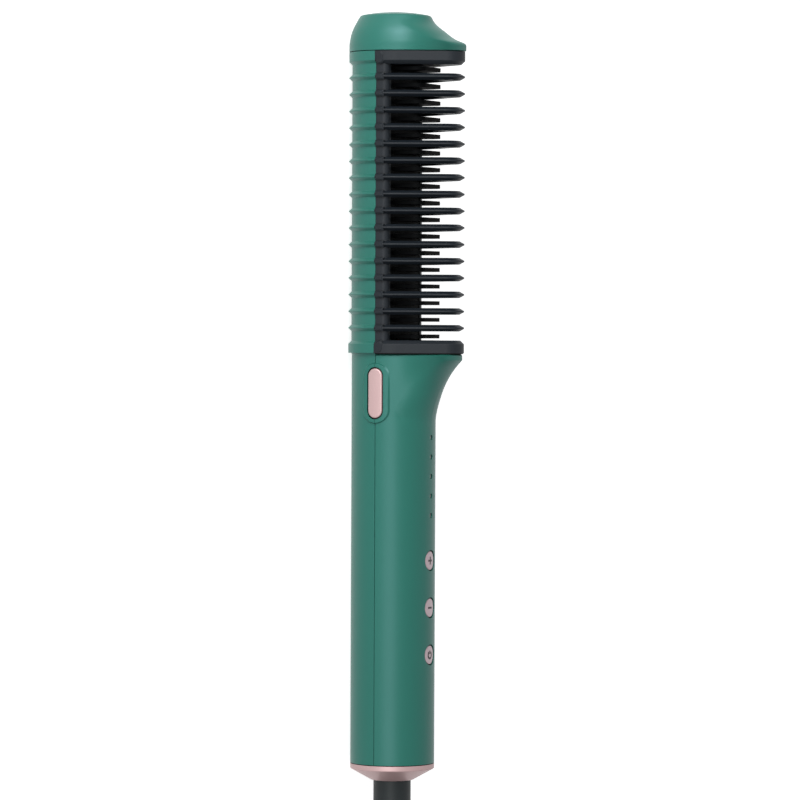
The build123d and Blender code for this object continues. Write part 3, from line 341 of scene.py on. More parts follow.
def crowned_sides():
    """The direction of a side that is rounded across, where the head's plan has straight
    lines: an oval's direction, with the slope along the brush as it is."""
    group, given, out = new_group(
        "Crowned sides",
        [("Normal", "NodeSocketVector", (0.0, 0.0, 1.0)), ("Width", "NodeSocketFloat", 17.6 * MM),
         ("Height", "NodeSocketFloat", 20.0 * MM), ("Amount", "NodeSocketFloat", 1.0)],
        [("Normal", "NodeSocketVector")])
    place = add(group, "ShaderNodeTexCoord").outputs["Object"]
    facing = given.outputs["Normal"]
    from_axis = vector_node(group, "SUBTRACT", place, (0.0, 0.0, AXIS_HEIGHT))
    share = vector_node(group, "MULTIPLY", from_axis, (0.0, 1.0, 1.0))
    size = add(group, "ShaderNodeCombineXYZ", X=1.0)
    for label in ("Width", "Height"):
        squared = math_node(group, "POWER", given.outputs[label], 2.0)
        group.links.new(squared, size.inputs["Y" if label == "Width" else "Z"])
    oval = vector_node(group, "NORMALIZE", vector_node(group, "DIVIDE", share, size.outputs["Vector"]))
    across = vector_node(group, "MULTIPLY", facing, (0.0, 1.0, 1.0))
    along = vector_node(group, "MULTIPLY", facing, (1.0, 0.0, 0.0))
    length = add(group, "ShaderNodeVectorMath", operation="LENGTH")
    group.links.new(across, length.inputs[0])
    turned = vector_node(group, "ADD", scaled(group, oval, length.outputs["Value"]), along)
    outward = add(group, "ShaderNodeVectorMath", operation="DOT_PRODUCT")
    group.links.new(oval, outward.inputs[0])
    group.links.new(facing, outward.inputs[1])
    spot = add(group, "ShaderNodeSeparateXYZ")
    group.links.new(from_axis, spot.inputs[0])
    mask = given.outputs["Amount"]
    for source, (start, full) in (
            (spot.outputs["Z"], SIDE_HEIGHTS), (spot.outputs["X"], SIDE_PLACES),
            (outward.outputs["Value"], SIDE_FACINGS)):
        ramp = add(group, "ShaderNodeMapRange", From_Min=start, From_Max=full)
        ramp.interpolation_type = "SMOOTHSTEP"
        group.links.new(source, ramp.inputs["Value"])
        mask = math_node(group, "MULTIPLY", mask, ramp.outputs["Result"])
    group.links.new(blended(group, facing, turned, mask), out.inputs["Normal"])
    return group


def domed_end():
    """The direction of a ball in the middle of the head's domed end, where the mesh runs to a
    point and its own direction is uneven."""
    group, given, out = new_group(
        "Domed end",
        [("Normal", "NodeSocketVector", (0.0, 0.0, 1.0)), ("Outer depth", "NodeSocketFloat", 0.1 * MM),
         ("Full depth", "NodeSocketFloat", 0.06 * MM)],
        [("Normal", "NodeSocketVector")])
    place = add(group, "ShaderNodeTexCoord").outputs["Object"]
    from_centre = vector_node(group, "SUBTRACT", place, (HEAD_END + DOME_RADIUS, 0.0, AXIS_HEIGHT))
    from_end = add(group, "ShaderNodeSeparateXYZ")
    group.links.new(vector_node(group, "SUBTRACT", place, (HEAD_END, 0.0, 0.0)), from_end.inputs[0])
    ramp = add(group, "ShaderNodeMapRange", interpolation_type="SMOOTHSTEP")
    group.links.new(from_end.outputs["X"], ramp.inputs["Value"])
    group.links.new(given.outputs["Outer depth"], ramp.inputs["From Min"])
    group.links.new(given.outputs["Full depth"], ramp.inputs["From Max"])
    ball = vector_node(group, "NORMALIZE", from_centre)
    turned = blended(group, given.outputs["Normal"], ball, ramp.outputs["Result"])
    group.links.new(turned, out.inputs["Normal"])
    return group


def painted_seam_shade():
    """Painted shade: a colour that darkens, by ambient occlusion, in each seam between pieces and in their
    inner corners, where shade falls.
    """
    group, given, out = new_group(
        "Painted seam shade",
        [("Colour", "NodeSocketColor", (0.5, 0.5, 0.5, 1.0)), ("Reach", "NodeSocketFloat", 1.2 * MM),
         ("Depth", "NodeSocketFloat", 0.8)],
        [("Colour", "NodeSocketColor")])
    # Painted shade: the less sky shows within the reach, the darker the colour is painted
    shadow = add(group, "ShaderNodeAmbientOcclusion", samples=6)
    group.links.new(given.outputs["Reach"], shadow.inputs["Distance"])
    spread = add(group, "ShaderNodeMapRange", From_Min=0.25, From_Max=0.85, To_Min=1.0, To_Max=0.0)
    group.links.new(shadow.outputs["AO"], spread.inputs["Value"])
    dark = math_node(group, "MULTIPLY", spread.outputs["Result"], given.outputs["Depth"])
    shade = add(group, "ShaderNodeHueSaturation")
    group.links.new(math_node(group, "SUBTRACT", 1.0, dark), shade.inputs["Value"])
    group.links.new(given.outputs["Colour"], shade.inputs["Color"])
    group.links.new(shade.outputs["Color"], out.inputs["Colour"])
    return group


GROUPS = {}


def group_node(tree, make, **values):
    """One of the groups above, placed in a material."""
    if make not in GROUPS:
        GROUPS[make] = make()
    node = tree.nodes.new("ShaderNodeGroup")
    node.node_tree = GROUPS[make]
    for name, value in values.items():
        node.inputs[name].default_value = value
    return node


def finish(
        name, colour, roughness, grain=1500.0, depth=0.02, waves=0.3, drift=0.06, spread=0.08,
        edge=0.25, seam_shade_depth=0.8, crown=0.0, pattern=moulded_grain, **shader):
    """A material for a moulded, painted, woven or metal surface. The texture's scale is grain
    and its depth is in mm, as is edge, the rounding of sharp edges; drift and spread are how
    far the colour and the gloss change over the surface; seam_shade_depth is how dark the
    painted shade in each seam and inner corner is, and crown how far the head's sides are
    rounded across."""
    material = bpy.data.materials.new(name)
    material.use_nodes = True
    tree = material.node_tree
    bsdf = tree.nodes["Principled BSDF"]
    for label, value in shader.items():
        bsdf.inputs[label.replace("_", " ")].default_value = value
    paint = group_node(tree, colour_drift, Colour=colour, Amount=drift)
    # Painted shade: the colour is darkened in each seam and inner corner, where shade falls
    shaded = group_node(tree, painted_seam_shade, Depth=seam_shade_depth)
    tree.links.new(paint.outputs["Colour"], shaded.inputs["Colour"])
    tree.links.new(shaded.outputs["Colour"], bsdf.inputs["Base Color"])
    gloss = group_node(tree, handled_gloss, Roughness=roughness, Spread=spread)
    tree.links.new(gloss.outputs["Roughness"], bsdf.inputs["Roughness"])
    texture = group_node(tree, pattern, Scale=grain, Waves=waves)
    bump = add(tree, "ShaderNodeBump", Strength=1.0, Distance=depth * MM)
    tree.links.new(texture.outputs["Height"], bump.inputs["Height"])
    rounded = group_node(tree, softened_edges, Radius=edge * MM)
    if crown:
        sides = group_node(tree, crowned_sides, Amount=crown)
        tree.links.new(rounded.outputs["Normal"], sides.inputs["Normal"])
        rounded = group_node(tree, domed_end)
        tree.links.new(sides.outputs["Normal"], rounded.inputs["Normal"])
    tree.links.new(rounded.outputs["Normal"], bump.inputs["Normal"])
    tree.links.new(bump.outputs["Normal"], bsdf.inputs["Normal"])
    return material


def wear(nodes, material):
    """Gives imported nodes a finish."""
    for name in nodes:
        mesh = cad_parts[name].data
        mesh.materials.clear()
        mesh.materials.append(material)


# Tools for the new pieces

def deselect():
    """Clears the selection and leaves edit mode ready to pick vertices."""
    bpy.context.tool_settings.mesh_select_mode = (True, False, False)
    if bpy.context.mode != "OBJECT":
        bpy.ops.object.mode_set(mode="OBJECT")
    bpy.ops.object.select_all(action="DESELECT")


def name_piece(name):
    piece = bpy.context.object
    piece.name = piece.data.name = name
    return piece


def settle(piece):
    """Puts the piece's place into its mesh, so its object stands at the origin."""
    deselect()
    piece.select_set(True)
    bpy.context.view_layer.objects.active = piece
    bpy.ops.object.transform_apply(location=True, rotation=True, scale=True)


def apply_modifiers(piece):
    bpy.context.view_layer.objects.active = piece
    for modifier in list(piece.modifiers):
        bpy.ops.object.modifier_apply(modifier=modifier.name)


def merged_copy(node, name):
    """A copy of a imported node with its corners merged, free to be cut down to a new piece."""
    deselect()
    bpy.ops.object.add(type="MESH")
    piece = name_piece(name)
    piece.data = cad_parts[node].data.copy()
    piece.data.name = name
    piece.data.materials.clear()
    bpy.ops.object.mode_set(mode="EDIT")
    bpy.ops.mesh.select_all(action="SELECT")
    bpy.ops.mesh.remove_doubles(threshold=0.01 * MM)
    bpy.ops.object.mode_set(mode="OBJECT")
    return piece


def pick_faces(piece, test):
    """Selects the piece's faces whose middle passes the test, in edit mode."""
    bpy.ops.object.mode_set(mode="EDIT")
    bpy.ops.mesh.select_mode(type="FACE")
    bpy.ops.mesh.select_all(action="DESELECT")
    bpy.ops.object.mode_set(mode="OBJECT")
    for face in piece.data.polygons:
        face.select = test(face.center)
    bpy.ops.object.mode_set(mode="EDIT")


# The lead

def lead_points(sizes):
    """The lead's control points: its free stretch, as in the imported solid, then the hank."""
    hank = RELIEF_TIP + sizes.lead_in
    wide, low = sizes.fold + sizes.step, sizes.first_layer
    points = [
        (RELIEF_TIP, 0.0, AXIS_HEIGHT),
        (hank - 68.0 * MM, 0.0, AXIS_HEIGHT),
        (hank - 53.0 * MM, 4.8 * MM, 13.0 * MM),
        (hank - 38.0 * MM, 13.4 * MM, 7.2 * MM),
        (hank - 22.0 * MM, wide, low),
        (hank - 5.0 * MM, wide, low),
    ]
    return points + hank_points(sizes, hank)


def hank_points(sizes, hank):
    """The hank's loops: each run is drawn in at its waist and ends in a round fold."""
    wide, tight = sizes.fold + sizes.step, sizes.fold
    # Each run's place across the hank, and the layers that it starts and ends in
    runs = [
        (wide, 0, 0), (-wide, 0, 0), (tight, 0, 0), (-tight, 0, 1),
        (tight, 1, 1), (-wide, 1, 1), (wide, 1, 2), (-wide, 2, 2),
        (tight, 2, 2), (-tight, 2, 3), (tight, 3, 3),
    ]
    points = []
    for k, (y, low, high) in enumerate(runs):
        ahead = 1 if k % 2 == 0 else -1
        start = hank if ahead > 0 else hank + sizes.run
        end = start + ahead * sizes.run
        low, high = (sizes.first_layer + layer * sizes.layer for layer in (low, high))
        waist = y - math.copysign(sizes.waist, y)
        middle = (low + high) / 2
        ease = ease_length(sizes.run / 2, Vector((0, y - waist, middle - low)).length)
        points += [
            (start + ahead * ease, y, low),
            ((start + end) / 2 - ahead * ease, waist, middle),
            ((start + end) / 2 + ahead * ease, waist, middle),
            (end - ahead * ease, y, high),
        ]
        after = runs[k + 1][0] if k + 1 < len(runs) else -wide
        points += fold_points(end, y, after, ahead, high)
    return points + tail_points(sizes, hank, -wide)


def ease_length(run, shift):
    """How far along a run its bend begins, for two equal arcs over that run and shift."""
    return run / 4 * (1 + (shift / run) ** 2)


def fold_points(x, y, after, ahead, z):
    """The corners of an eight-sided frame round a half turn."""
    radius = (abs(y) + abs(after)) / 2
    middle = (y + after) / 2
    side = math.copysign(1, y)
    reach = radius / math.cos(math.radians(22.5))
    return [
        (x + ahead * reach * math.cos(angle), middle + side * reach * math.sin(angle), z)
        for angle in (math.radians(degrees) for degrees in (67.5, 22.5, -22.5, -67.5))
    ]


def tail_points(sizes, hank, y):
    """From the last fold up to the plug that lies on the hank."""
    low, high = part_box("plug_body")
    plug_y, plug_z = (low.y + high.y) / 2, (low.z + high.z) / 2
    start = hank + sizes.run
    top = sizes.first_layer + 3 * sizes.layer
    ease = ease_length(sizes.tail, math.hypot(plug_y - y, plug_z - top))
    return [
        (start - ease, y, top),
        (start - sizes.tail + ease, plug_y, plug_z),
        (start - sizes.tail - PLUG_BITE, plug_y, plug_z),
    ]


class BRUSH_OT_tie(bpy.types.Operator):
    """Wind the woven strap round the hank, with its end laid over it and stuck down"""

    bl_idname = "brush.tie"
    bl_label = "Strap"

    def execute(self, context):
        sizes, colours = context.scene.brush_lead, context.scene.brush_colours
        weave = finish(
            "Strap weave", colours.tie, 0.85, grain=5200.0, depth=0.12, waves=0.6, spread=0.1,
            pattern=strap_weave, Sheen_Weight=0.3, Specular_IOR_Level=0.2)
        low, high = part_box("cord_tie")
        # The end lies on the first layer and sinks into its weave a little
        round_hank = self.band("tie_strap", low, high, 0.5 * sizes.strap)
        end = self.band("tie_end", low, high, -0.45 * sizes.strap)
        across, stop = (low.y + high.y) / 2, low.z + STRAP_END * (high.z - low.z)
        pick_faces(end, lambda middle: middle.y < across or middle.z < stop)
        bpy.ops.mesh.delete(type="FACE")
        bpy.ops.object.mode_set(mode="OBJECT")
        for strap in (round_hank, end):
            self.thicken(strap, sizes.strap)
            strap.data.materials.append(weave)
            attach(strap, "casing")
        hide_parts("cord_tie")
        return {"FINISHED"}

    def band(self, name, low, high, inset):
        """A band round the hank, as a surface in the middle of the strap's thickness."""
        deselect()
        middle = (low + high) / 2
        bpy.ops.mesh.primitive_plane_add(
            size=1.0, rotation=(0.0, math.pi / 2, 0.0), location=(low.x, middle.y, middle.z))
        strap = name_piece(name)
        strap.scale = (high.z - low.z - 2 * inset, high.y - low.y - 2 * inset, 1.0)
        settle(strap)
        bpy.ops.object.mode_set(mode="EDIT")
        bpy.ops.mesh.select_all(action="SELECT")
        bpy.ops.mesh.bevel(offset=STRAP_CORNER, segments=10, affect="VERTICES")
        bpy.ops.mesh.select_all(action="SELECT")
        bpy.ops.mesh.subdivide(number_cuts=1)
        bpy.ops.mesh.select_all(action="SELECT")
        bpy.ops.mesh.delete(type="ONLY_FACE")
        bpy.ops.mesh.select_all(action="SELECT")
        bpy.ops.mesh.extrude_region_move(TRANSFORM_OT_translate={"value": (high.x - low.x, 0.0, 0.0)})
        bpy.ops.mesh.select_all(action="SELECT")
        bpy.ops.mesh.normals_make_consistent(inside=False)
        bpy.ops.object.mode_set(mode="OBJECT")
        return strap

    def thicken(self, strap, thick):
        """Gives a band its thickness and its rounded selvedges."""
        wall = strap.modifiers.new("Thickness", "SOLIDIFY")
        wall.thickness, wall.offset = thick, 0.0
        edge = strap.modifiers.new("Selvedge", "BEVEL")
        edge.width, edge.segments, edge.limit_method = SELVEDGE * thick, 3, "ANGLE"
        edge.angle_limit = math.radians(50.0)
        deselect()
        strap.select_set(True)
        apply_modifiers(strap)
        bpy.ops.object.shade_smooth_by_angle(angle=SMOOTH_ANGLE)


class BRUSH_OT_pins(bpy.types.Operator):
    """Slide the insulating sleeves over the roots of the plug's pins"""

    bl_idname = "brush.pins"
    bl_label = "Pin sleeves"

    def execute(self, context):
        low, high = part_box("plug_pins")
        radius = (high.z - low.z) / 2
        wall, length, rounding = PIN_SLEEVE
        sleeves = []
        for y in (low.y + radius, high.y - radius):
            deselect()
            bpy.ops.mesh.primitive_cylinder_add(
                vertices=40, radius=radius + wall, depth=length, rotation=(0.0, math.pi / 2, 0.0),
                location=(high.x - length / 2, y, (low.z + high.z) / 2))
            sleeve = name_piece("pin_sleeve")
            settle(sleeve)
            edge = sleeve.modifiers.new("Edge", "BEVEL")
            edge.width, edge.segments = rounding, 3
            apply_modifiers(sleeve)
            sleeves.append(sleeve)
        sleeve = join(sleeves)
        sleeve.name = sleeve.data.name = "pin_sleeves"
        bpy.ops.object.shade_smooth_by_angle(angle=SMOOTH_ANGLE)
        cord = context.scene.brush_colours.cord
        sleeve.data.materials.append(finish("Pin insulation", cord, 0.35, depth=0.004))
        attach(sleeve, "casing")
        return {"FINISHED"}


class BRUSH_OT_lead(bpy.types.Operator):
    """Lay the lead as one smooth curve, from its sleeve to the plug"""

    bl_idname = "brush.lead"
    bl_label = "Lead and hank"

    def execute(self, context):
        sizes, colours = context.scene.brush_lead, context.scene.brush_colours
        deselect()
        bpy.ops.object.add(type="CURVE")
        lead = name_piece("lead")
        lead.data.dimensions = "3D"
        lead.data.resolution_u = 10
        lead.data.bevel_depth = sizes.radius
        lead.data.bevel_resolution = 5
        lead.data.use_fill_caps = True
        points = lead_points(sizes)
        spline = lead.data.splines.new("NURBS")
        spline.points.add(len(points) - 1)
        for point, place in zip(spline.points, points):
            point.co = (*place, 1.0)
        spline.order_u = 3
        spline.use_endpoint_u = True
        rubber = finish("Lead rubber", colours.cord, 0.45, grain=2500.0, depth=0.03, spread=0.12)
        lead.data.materials.append(rubber)
        wear(["cord", "cord_hank"], rubber)
        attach(lead, "casing")
        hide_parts("cord", "cord_hank")
        return {"FINISHED"}


# Signs on the buttons

def wrap_on_button(piece, node, ink):
    """Bends a flat piece, drawn round the origin, onto a button's round face."""
    low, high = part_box(node)
    middle, radius = (low.x + high.x) / 2, high.z - AXIS_HEIGHT
    for vertex in piece.data.vertices:
        x, y, height = vertex.co
        face = AXIS_HEIGHT + math.sqrt(radius**2 - y**2)
        vertex.co = (middle + x, y, face + PRINT_LIFT * ink + height)


def finish_sign(piece, node, sizes, material):
    """Gives a flat sign the print's thickness and puts it on its button."""
    print_height = piece.modifiers.new("Print", "SOLIDIFY")
    print_height.thickness, print_height.offset = sizes.ink, 0.0
    apply_modifiers(piece)
    wrap_on_button(piece, node, sizes.ink)
    piece.data.materials.append(material)
    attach(piece, node)


def flat_bar(name, length, width, turn=0.0):
    """A flat bar round the origin, with enough cuts to bend it. Its width lies along the
    brush, unless it is turned."""
    deselect()
    bpy.ops.mesh.primitive_grid_add(x_subdivisions=2, y_subdivisions=10, size=1.0)
    piece = name_piece(name)
    piece.scale = (width, length, 1.0)
    piece.rotation_euler.z = turn
    settle(piece)
    return piece


def join(pieces):
    deselect()
    for piece in pieces:
        piece.select_set(True)
    bpy.context.view_layer.objects.active = pieces[0]
    bpy.ops.object.join()
    return pieces[0]


class BRUSH_OT_signs(bpy.types.Operator):
    """Print the plus, minus and power signs on the buttons"""

    bl_idname = "brush.signs"
    bl_label = "Button signs"

    def execute(self, context):
        sizes, colours = context.scene.brush_signs, context.scene.brush_colours
        ink = finish("Sign ink", colours.sign, 0.5, depth=0.005)
        minus = flat_bar("sign_minus", 2 * sizes.arm, sizes.line)
        finish_sign(minus, "button_minus", sizes, ink)
        across = flat_bar("sign_plus", 2 * sizes.arm, sizes.line)
        upper = flat_bar("sign_plus_upper", sizes.arm - sizes.line / 2, sizes.line, math.pi / 2)
        lower = flat_bar("sign_plus_lower", sizes.arm - sizes.line / 2, sizes.line, math.pi / 2)
        for arm, side in ((upper, -1), (lower, 1)):
            arm.location.x = side * (sizes.arm + sizes.line / 2) / 2
            settle(arm)
        finish_sign(join([across, upper, lower]), "button_plus", sizes, ink)
        finish_sign(self.power(sizes), "button_power", sizes, ink)
        return {"FINISHED"}

    def power(self, sizes):
        """A ring that is open at the top, with a bar in the opening."""
        deselect()
        bpy.ops.mesh.primitive_circle_add(vertices=48, radius=sizes.ring - sizes.line / 2)
        ring = name_piece("sign_power")
        bpy.ops.object.mode_set(mode="EDIT")
        bpy.ops.mesh.select_all(action="SELECT")
        bpy.ops.mesh.extrude_region_move()
        share = (sizes.ring + sizes.line / 2) / (sizes.ring - sizes.line / 2)
        bpy.ops.transform.resize(value=(share, share, 1.0))
        pick_faces(ring, lambda middle: middle.x < 0 and abs(middle.y) < sizes.opening)
        bpy.ops.mesh.delete(type="FACE")
        bpy.ops.object.mode_set(mode="OBJECT")
        bar = flat_bar("sign_power_bar", sizes.ring, sizes.line, math.pi / 2)
        bar.location.x = -sizes.bar
        settle(bar)
        return join([ring, bar])


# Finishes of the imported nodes

class BRUSH_OT_casing(bpy.types.Operator):
    """Give the shells, the top cap and the trims their finish"""

    bl_idname = "brush.casing"
    bl_label = "Casing finish"

    def execute(self, context):
        colours = context.scene.brush_colours
        green = finish(
            "Satin green", colours.casing, 0.4, grain=1800.0, depth=0.006, drift=0.05, spread=0.06,
            seam_shade_depth=0.55, crown=1.0, Specular_IOR_Level=0.5, Specular_Tint=(0.6, 0.88, 1.0, 1.0))
        wear(["back_shell", "front_shell", "top_cap"], green)
        pearl = finish(
            "Pearl rose gold", colours.trim, 0.46, grain=3000.0, depth=0.006, drift=0.08, spread=0.08,
            Metallic=0.5, Coat_Weight=0.08, Coat_Roughness=0.2)
        wear(["end_cap", "side_insert_left", "side_insert_right"], pearl)
        button = finish(
            "Button pearl", colours.button, 0.33, grain=3000.0, depth=0.006, drift=0.05, spread=0.06,
            edge=0.5, Metallic=0.5, Coat_Weight=0.3, Coat_Roughness=0.15)
        wear(["button_plus", "button_minus", "button_power"], button)
        lens = finish(
            "Smoked lens", colours.lens, 0.12, grain=900.0, depth=0.002, Coat_Weight=0.5, Coat_Roughness=0.05)
        wear(["led_guide"], lens)
        return {"FINISHED"}


class BRUSH_OT_head(bpy.types.Operator):
    """Give the comb guard and the heated comb their finish"""

    bl_idname = "brush.head"
    bl_label = "Head finish"

    def execute(self, context):
        colours = context.scene.brush_colours
        black = finish(
            "Guard black", colours.guard, 0.48, grain=2200.0, depth=0.012, spread=0.1,
            Specular_IOR_Level=0.25)
        wear(["comb_guard"], black)
        coating = finish(
            "Comb coating", colours.comb, 0.55, grain=4000.0, depth=0.006, spread=0.12,
            Specular_IOR_Level=0.03)
        wear(["heating_comb"], coating)
        return {"FINISHED"}


class BRUSH_OT_seal(bpy.types.Operator):
    """Fit the thin dark seals that close the gaps at the handle's two ends; their near-black colour is
    painted shade in those gaps
    """

    bl_idname = "brush.seal"
    bl_label = "Seals"

    def execute(self, context):
        # The comb's near-black colour, used here as painted shade in the gaps
        colour = context.scene.brush_colours.comb
        rubber = finish("Seal in painted shade", colour, 0.6, Specular_IOR_Level=0.2)
        for seal in (self.head_seal(), self.end_seal()):
            seal.data.materials.append(rubber)
            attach(seal, "casing")
        return {"FINISHED"}

    def end_seal(self):
        """A ring between the shells and the end cap, just under their surface; its near-black colour is
        painted shade in that seam.
        """
        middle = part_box("front_shell")[1].x + SEAM / 2
        deselect()
        bpy.ops.mesh.primitive_cylinder_add(
            vertices=96, radius=HANDLE_RADIUS - SEAL_INSET, depth=SEAM, end_fill_type="NOTHING",
            rotation=(0.0, math.pi / 2, 0.0), location=(middle, 0.0, AXIS_HEIGHT))
        seal = name_piece("end_seal")
        settle(seal)
        wall = seal.modifiers.new("Wall", "SOLIDIFY")
        wall.thickness, wall.offset = SEAL_WALL, -1.0
        apply_modifiers(seal)
        bpy.ops.object.shade_smooth_by_angle(angle=SMOOTH_ANGLE)
        return seal

    def head_seal(self):
        """A plate as the guard's foot, a little smaller, as thick as the gap under it; its near-black colour
        is painted shade under the guard.
        """
        foot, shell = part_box("comb_guard")[1].x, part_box("front_shell")[0].x
        seal = merged_copy("comb_guard", "head_seal")
        pick_faces(seal, lambda middle: middle.x < foot - NEAR)
        bpy.ops.mesh.delete(type="FACE")
        bpy.ops.mesh.select_all(action="SELECT")
        bpy.ops.mesh.dissolve_limited(angle_limit=math.radians(1.0))
        bpy.ops.mesh.select_all(action="SELECT")
        bpy.ops.mesh.inset(thickness=HEAD_SEAL_INSET, depth=0.0)
        bpy.ops.mesh.select_all(action="INVERT")
        bpy.ops.mesh.delete(type="FACE")
        bpy.ops.mesh.select_all(action="SELECT")
        bpy.ops.mesh.extrude_region_move(TRANSFORM_OT_translate={"value": (shell - foot, 0.0, 0.0)})
        bpy.ops.mesh.select_all(action="SELECT")
        bpy.ops.mesh.normals_make_consistent(inside=False)
        bpy.ops.object.mode_set(mode="OBJECT")
        return seal


class BRUSH_OT_swivel(bpy.types.Operator):
    """Give the swivel, the sleeve and the plug their finish"""

    bl_idname = "brush.swivel"
    bl_label = "Swivel, sleeve and plug finish"

    def execute(self, context):
        colours = context.scene.brush_colours
        plastic = finish(
            "Swivel plastic", colours.swivel, 0.5, depth=0.01, grain=1600.0, Specular_IOR_Level=0.3)
        wear(["swivel_boss"], plastic)
        rubber = finish("Sleeve rubber", colours.cord, 0.5, depth=0.03, grain=2000.0)
        wear(["strain_relief", "plug_body"], rubber)
        nickel = finish("Nickel plate", linear(206, 207, 205), 0.2, depth=0.003, Metallic=1.0)
        wear(["plug_pins"], nickel)
        return {"FINISHED"}


# Name, shown colour, roughness, metallic and nodes
INNER_FINISHES = [
    ("Board lacquer", (24, 96, 62), 0.3, 0.0, ["control_board"]),
    ("Black parts", (38, 38, 40), 0.45, 0.0, ["tact_switches", "triac", "microcontroller"]),
    ("White parts", (236, 235, 228), 0.4, 0.0, ["led_chips", "thermal_fuse"]),
    ("Film capacitor", (204, 176, 70), 0.35, 0.0, ["film_capacitor"]),
    ("Capacitor sleeve", (40, 48, 82), 0.25, 0.0, ["reservoir_capacitor"]),
    ("Zinc plate", (190, 192, 196), 0.32, 1.0, ["board_screws", "carrier_screws"]),
    ("Glass filled plastic", (186, 176, 152), 0.6, 0.0, ["heater_carrier", "contact_carrier"]),
    ("Fired ceramic", (240, 238, 232), 0.5, 0.0, ["ceramic_heaters"]),
    ("Insulating film", (214, 186, 120), 0.35, 0.0, ["heater_insulation"]),
    ("Spring steel", (176, 178, 182), 0.28, 1.0, ["heater_clips"]),
    ("Bead glass", (180, 120, 66), 0.15, 0.0, ["thermistor"]),
    ("Red wire sleeve", (168, 40, 34), 0.5, 0.0, ["heater_leads"]),
    ("Blue wire sleeve", (44, 76, 150), 0.5, 0.0, ["supply_leads"]),
    ("Contact brass", (212, 178, 112), 0.25, 1.0, ["slip_rings", "contact_brushes"]),
]


class BRUSH_OT_inner(bpy.types.Operator):
    """Give the parts inside the brush their finish"""

    bl_idname = "brush.inner"
    bl_label = "Inner parts finish"

    def execute(self, context):
        for name, shown, roughness, metallic, nodes in INNER_FINISHES:
            wear(nodes, finish(name, linear(*shown), roughness, Metallic=metallic))
        return {"FINISHED"}


# The stage

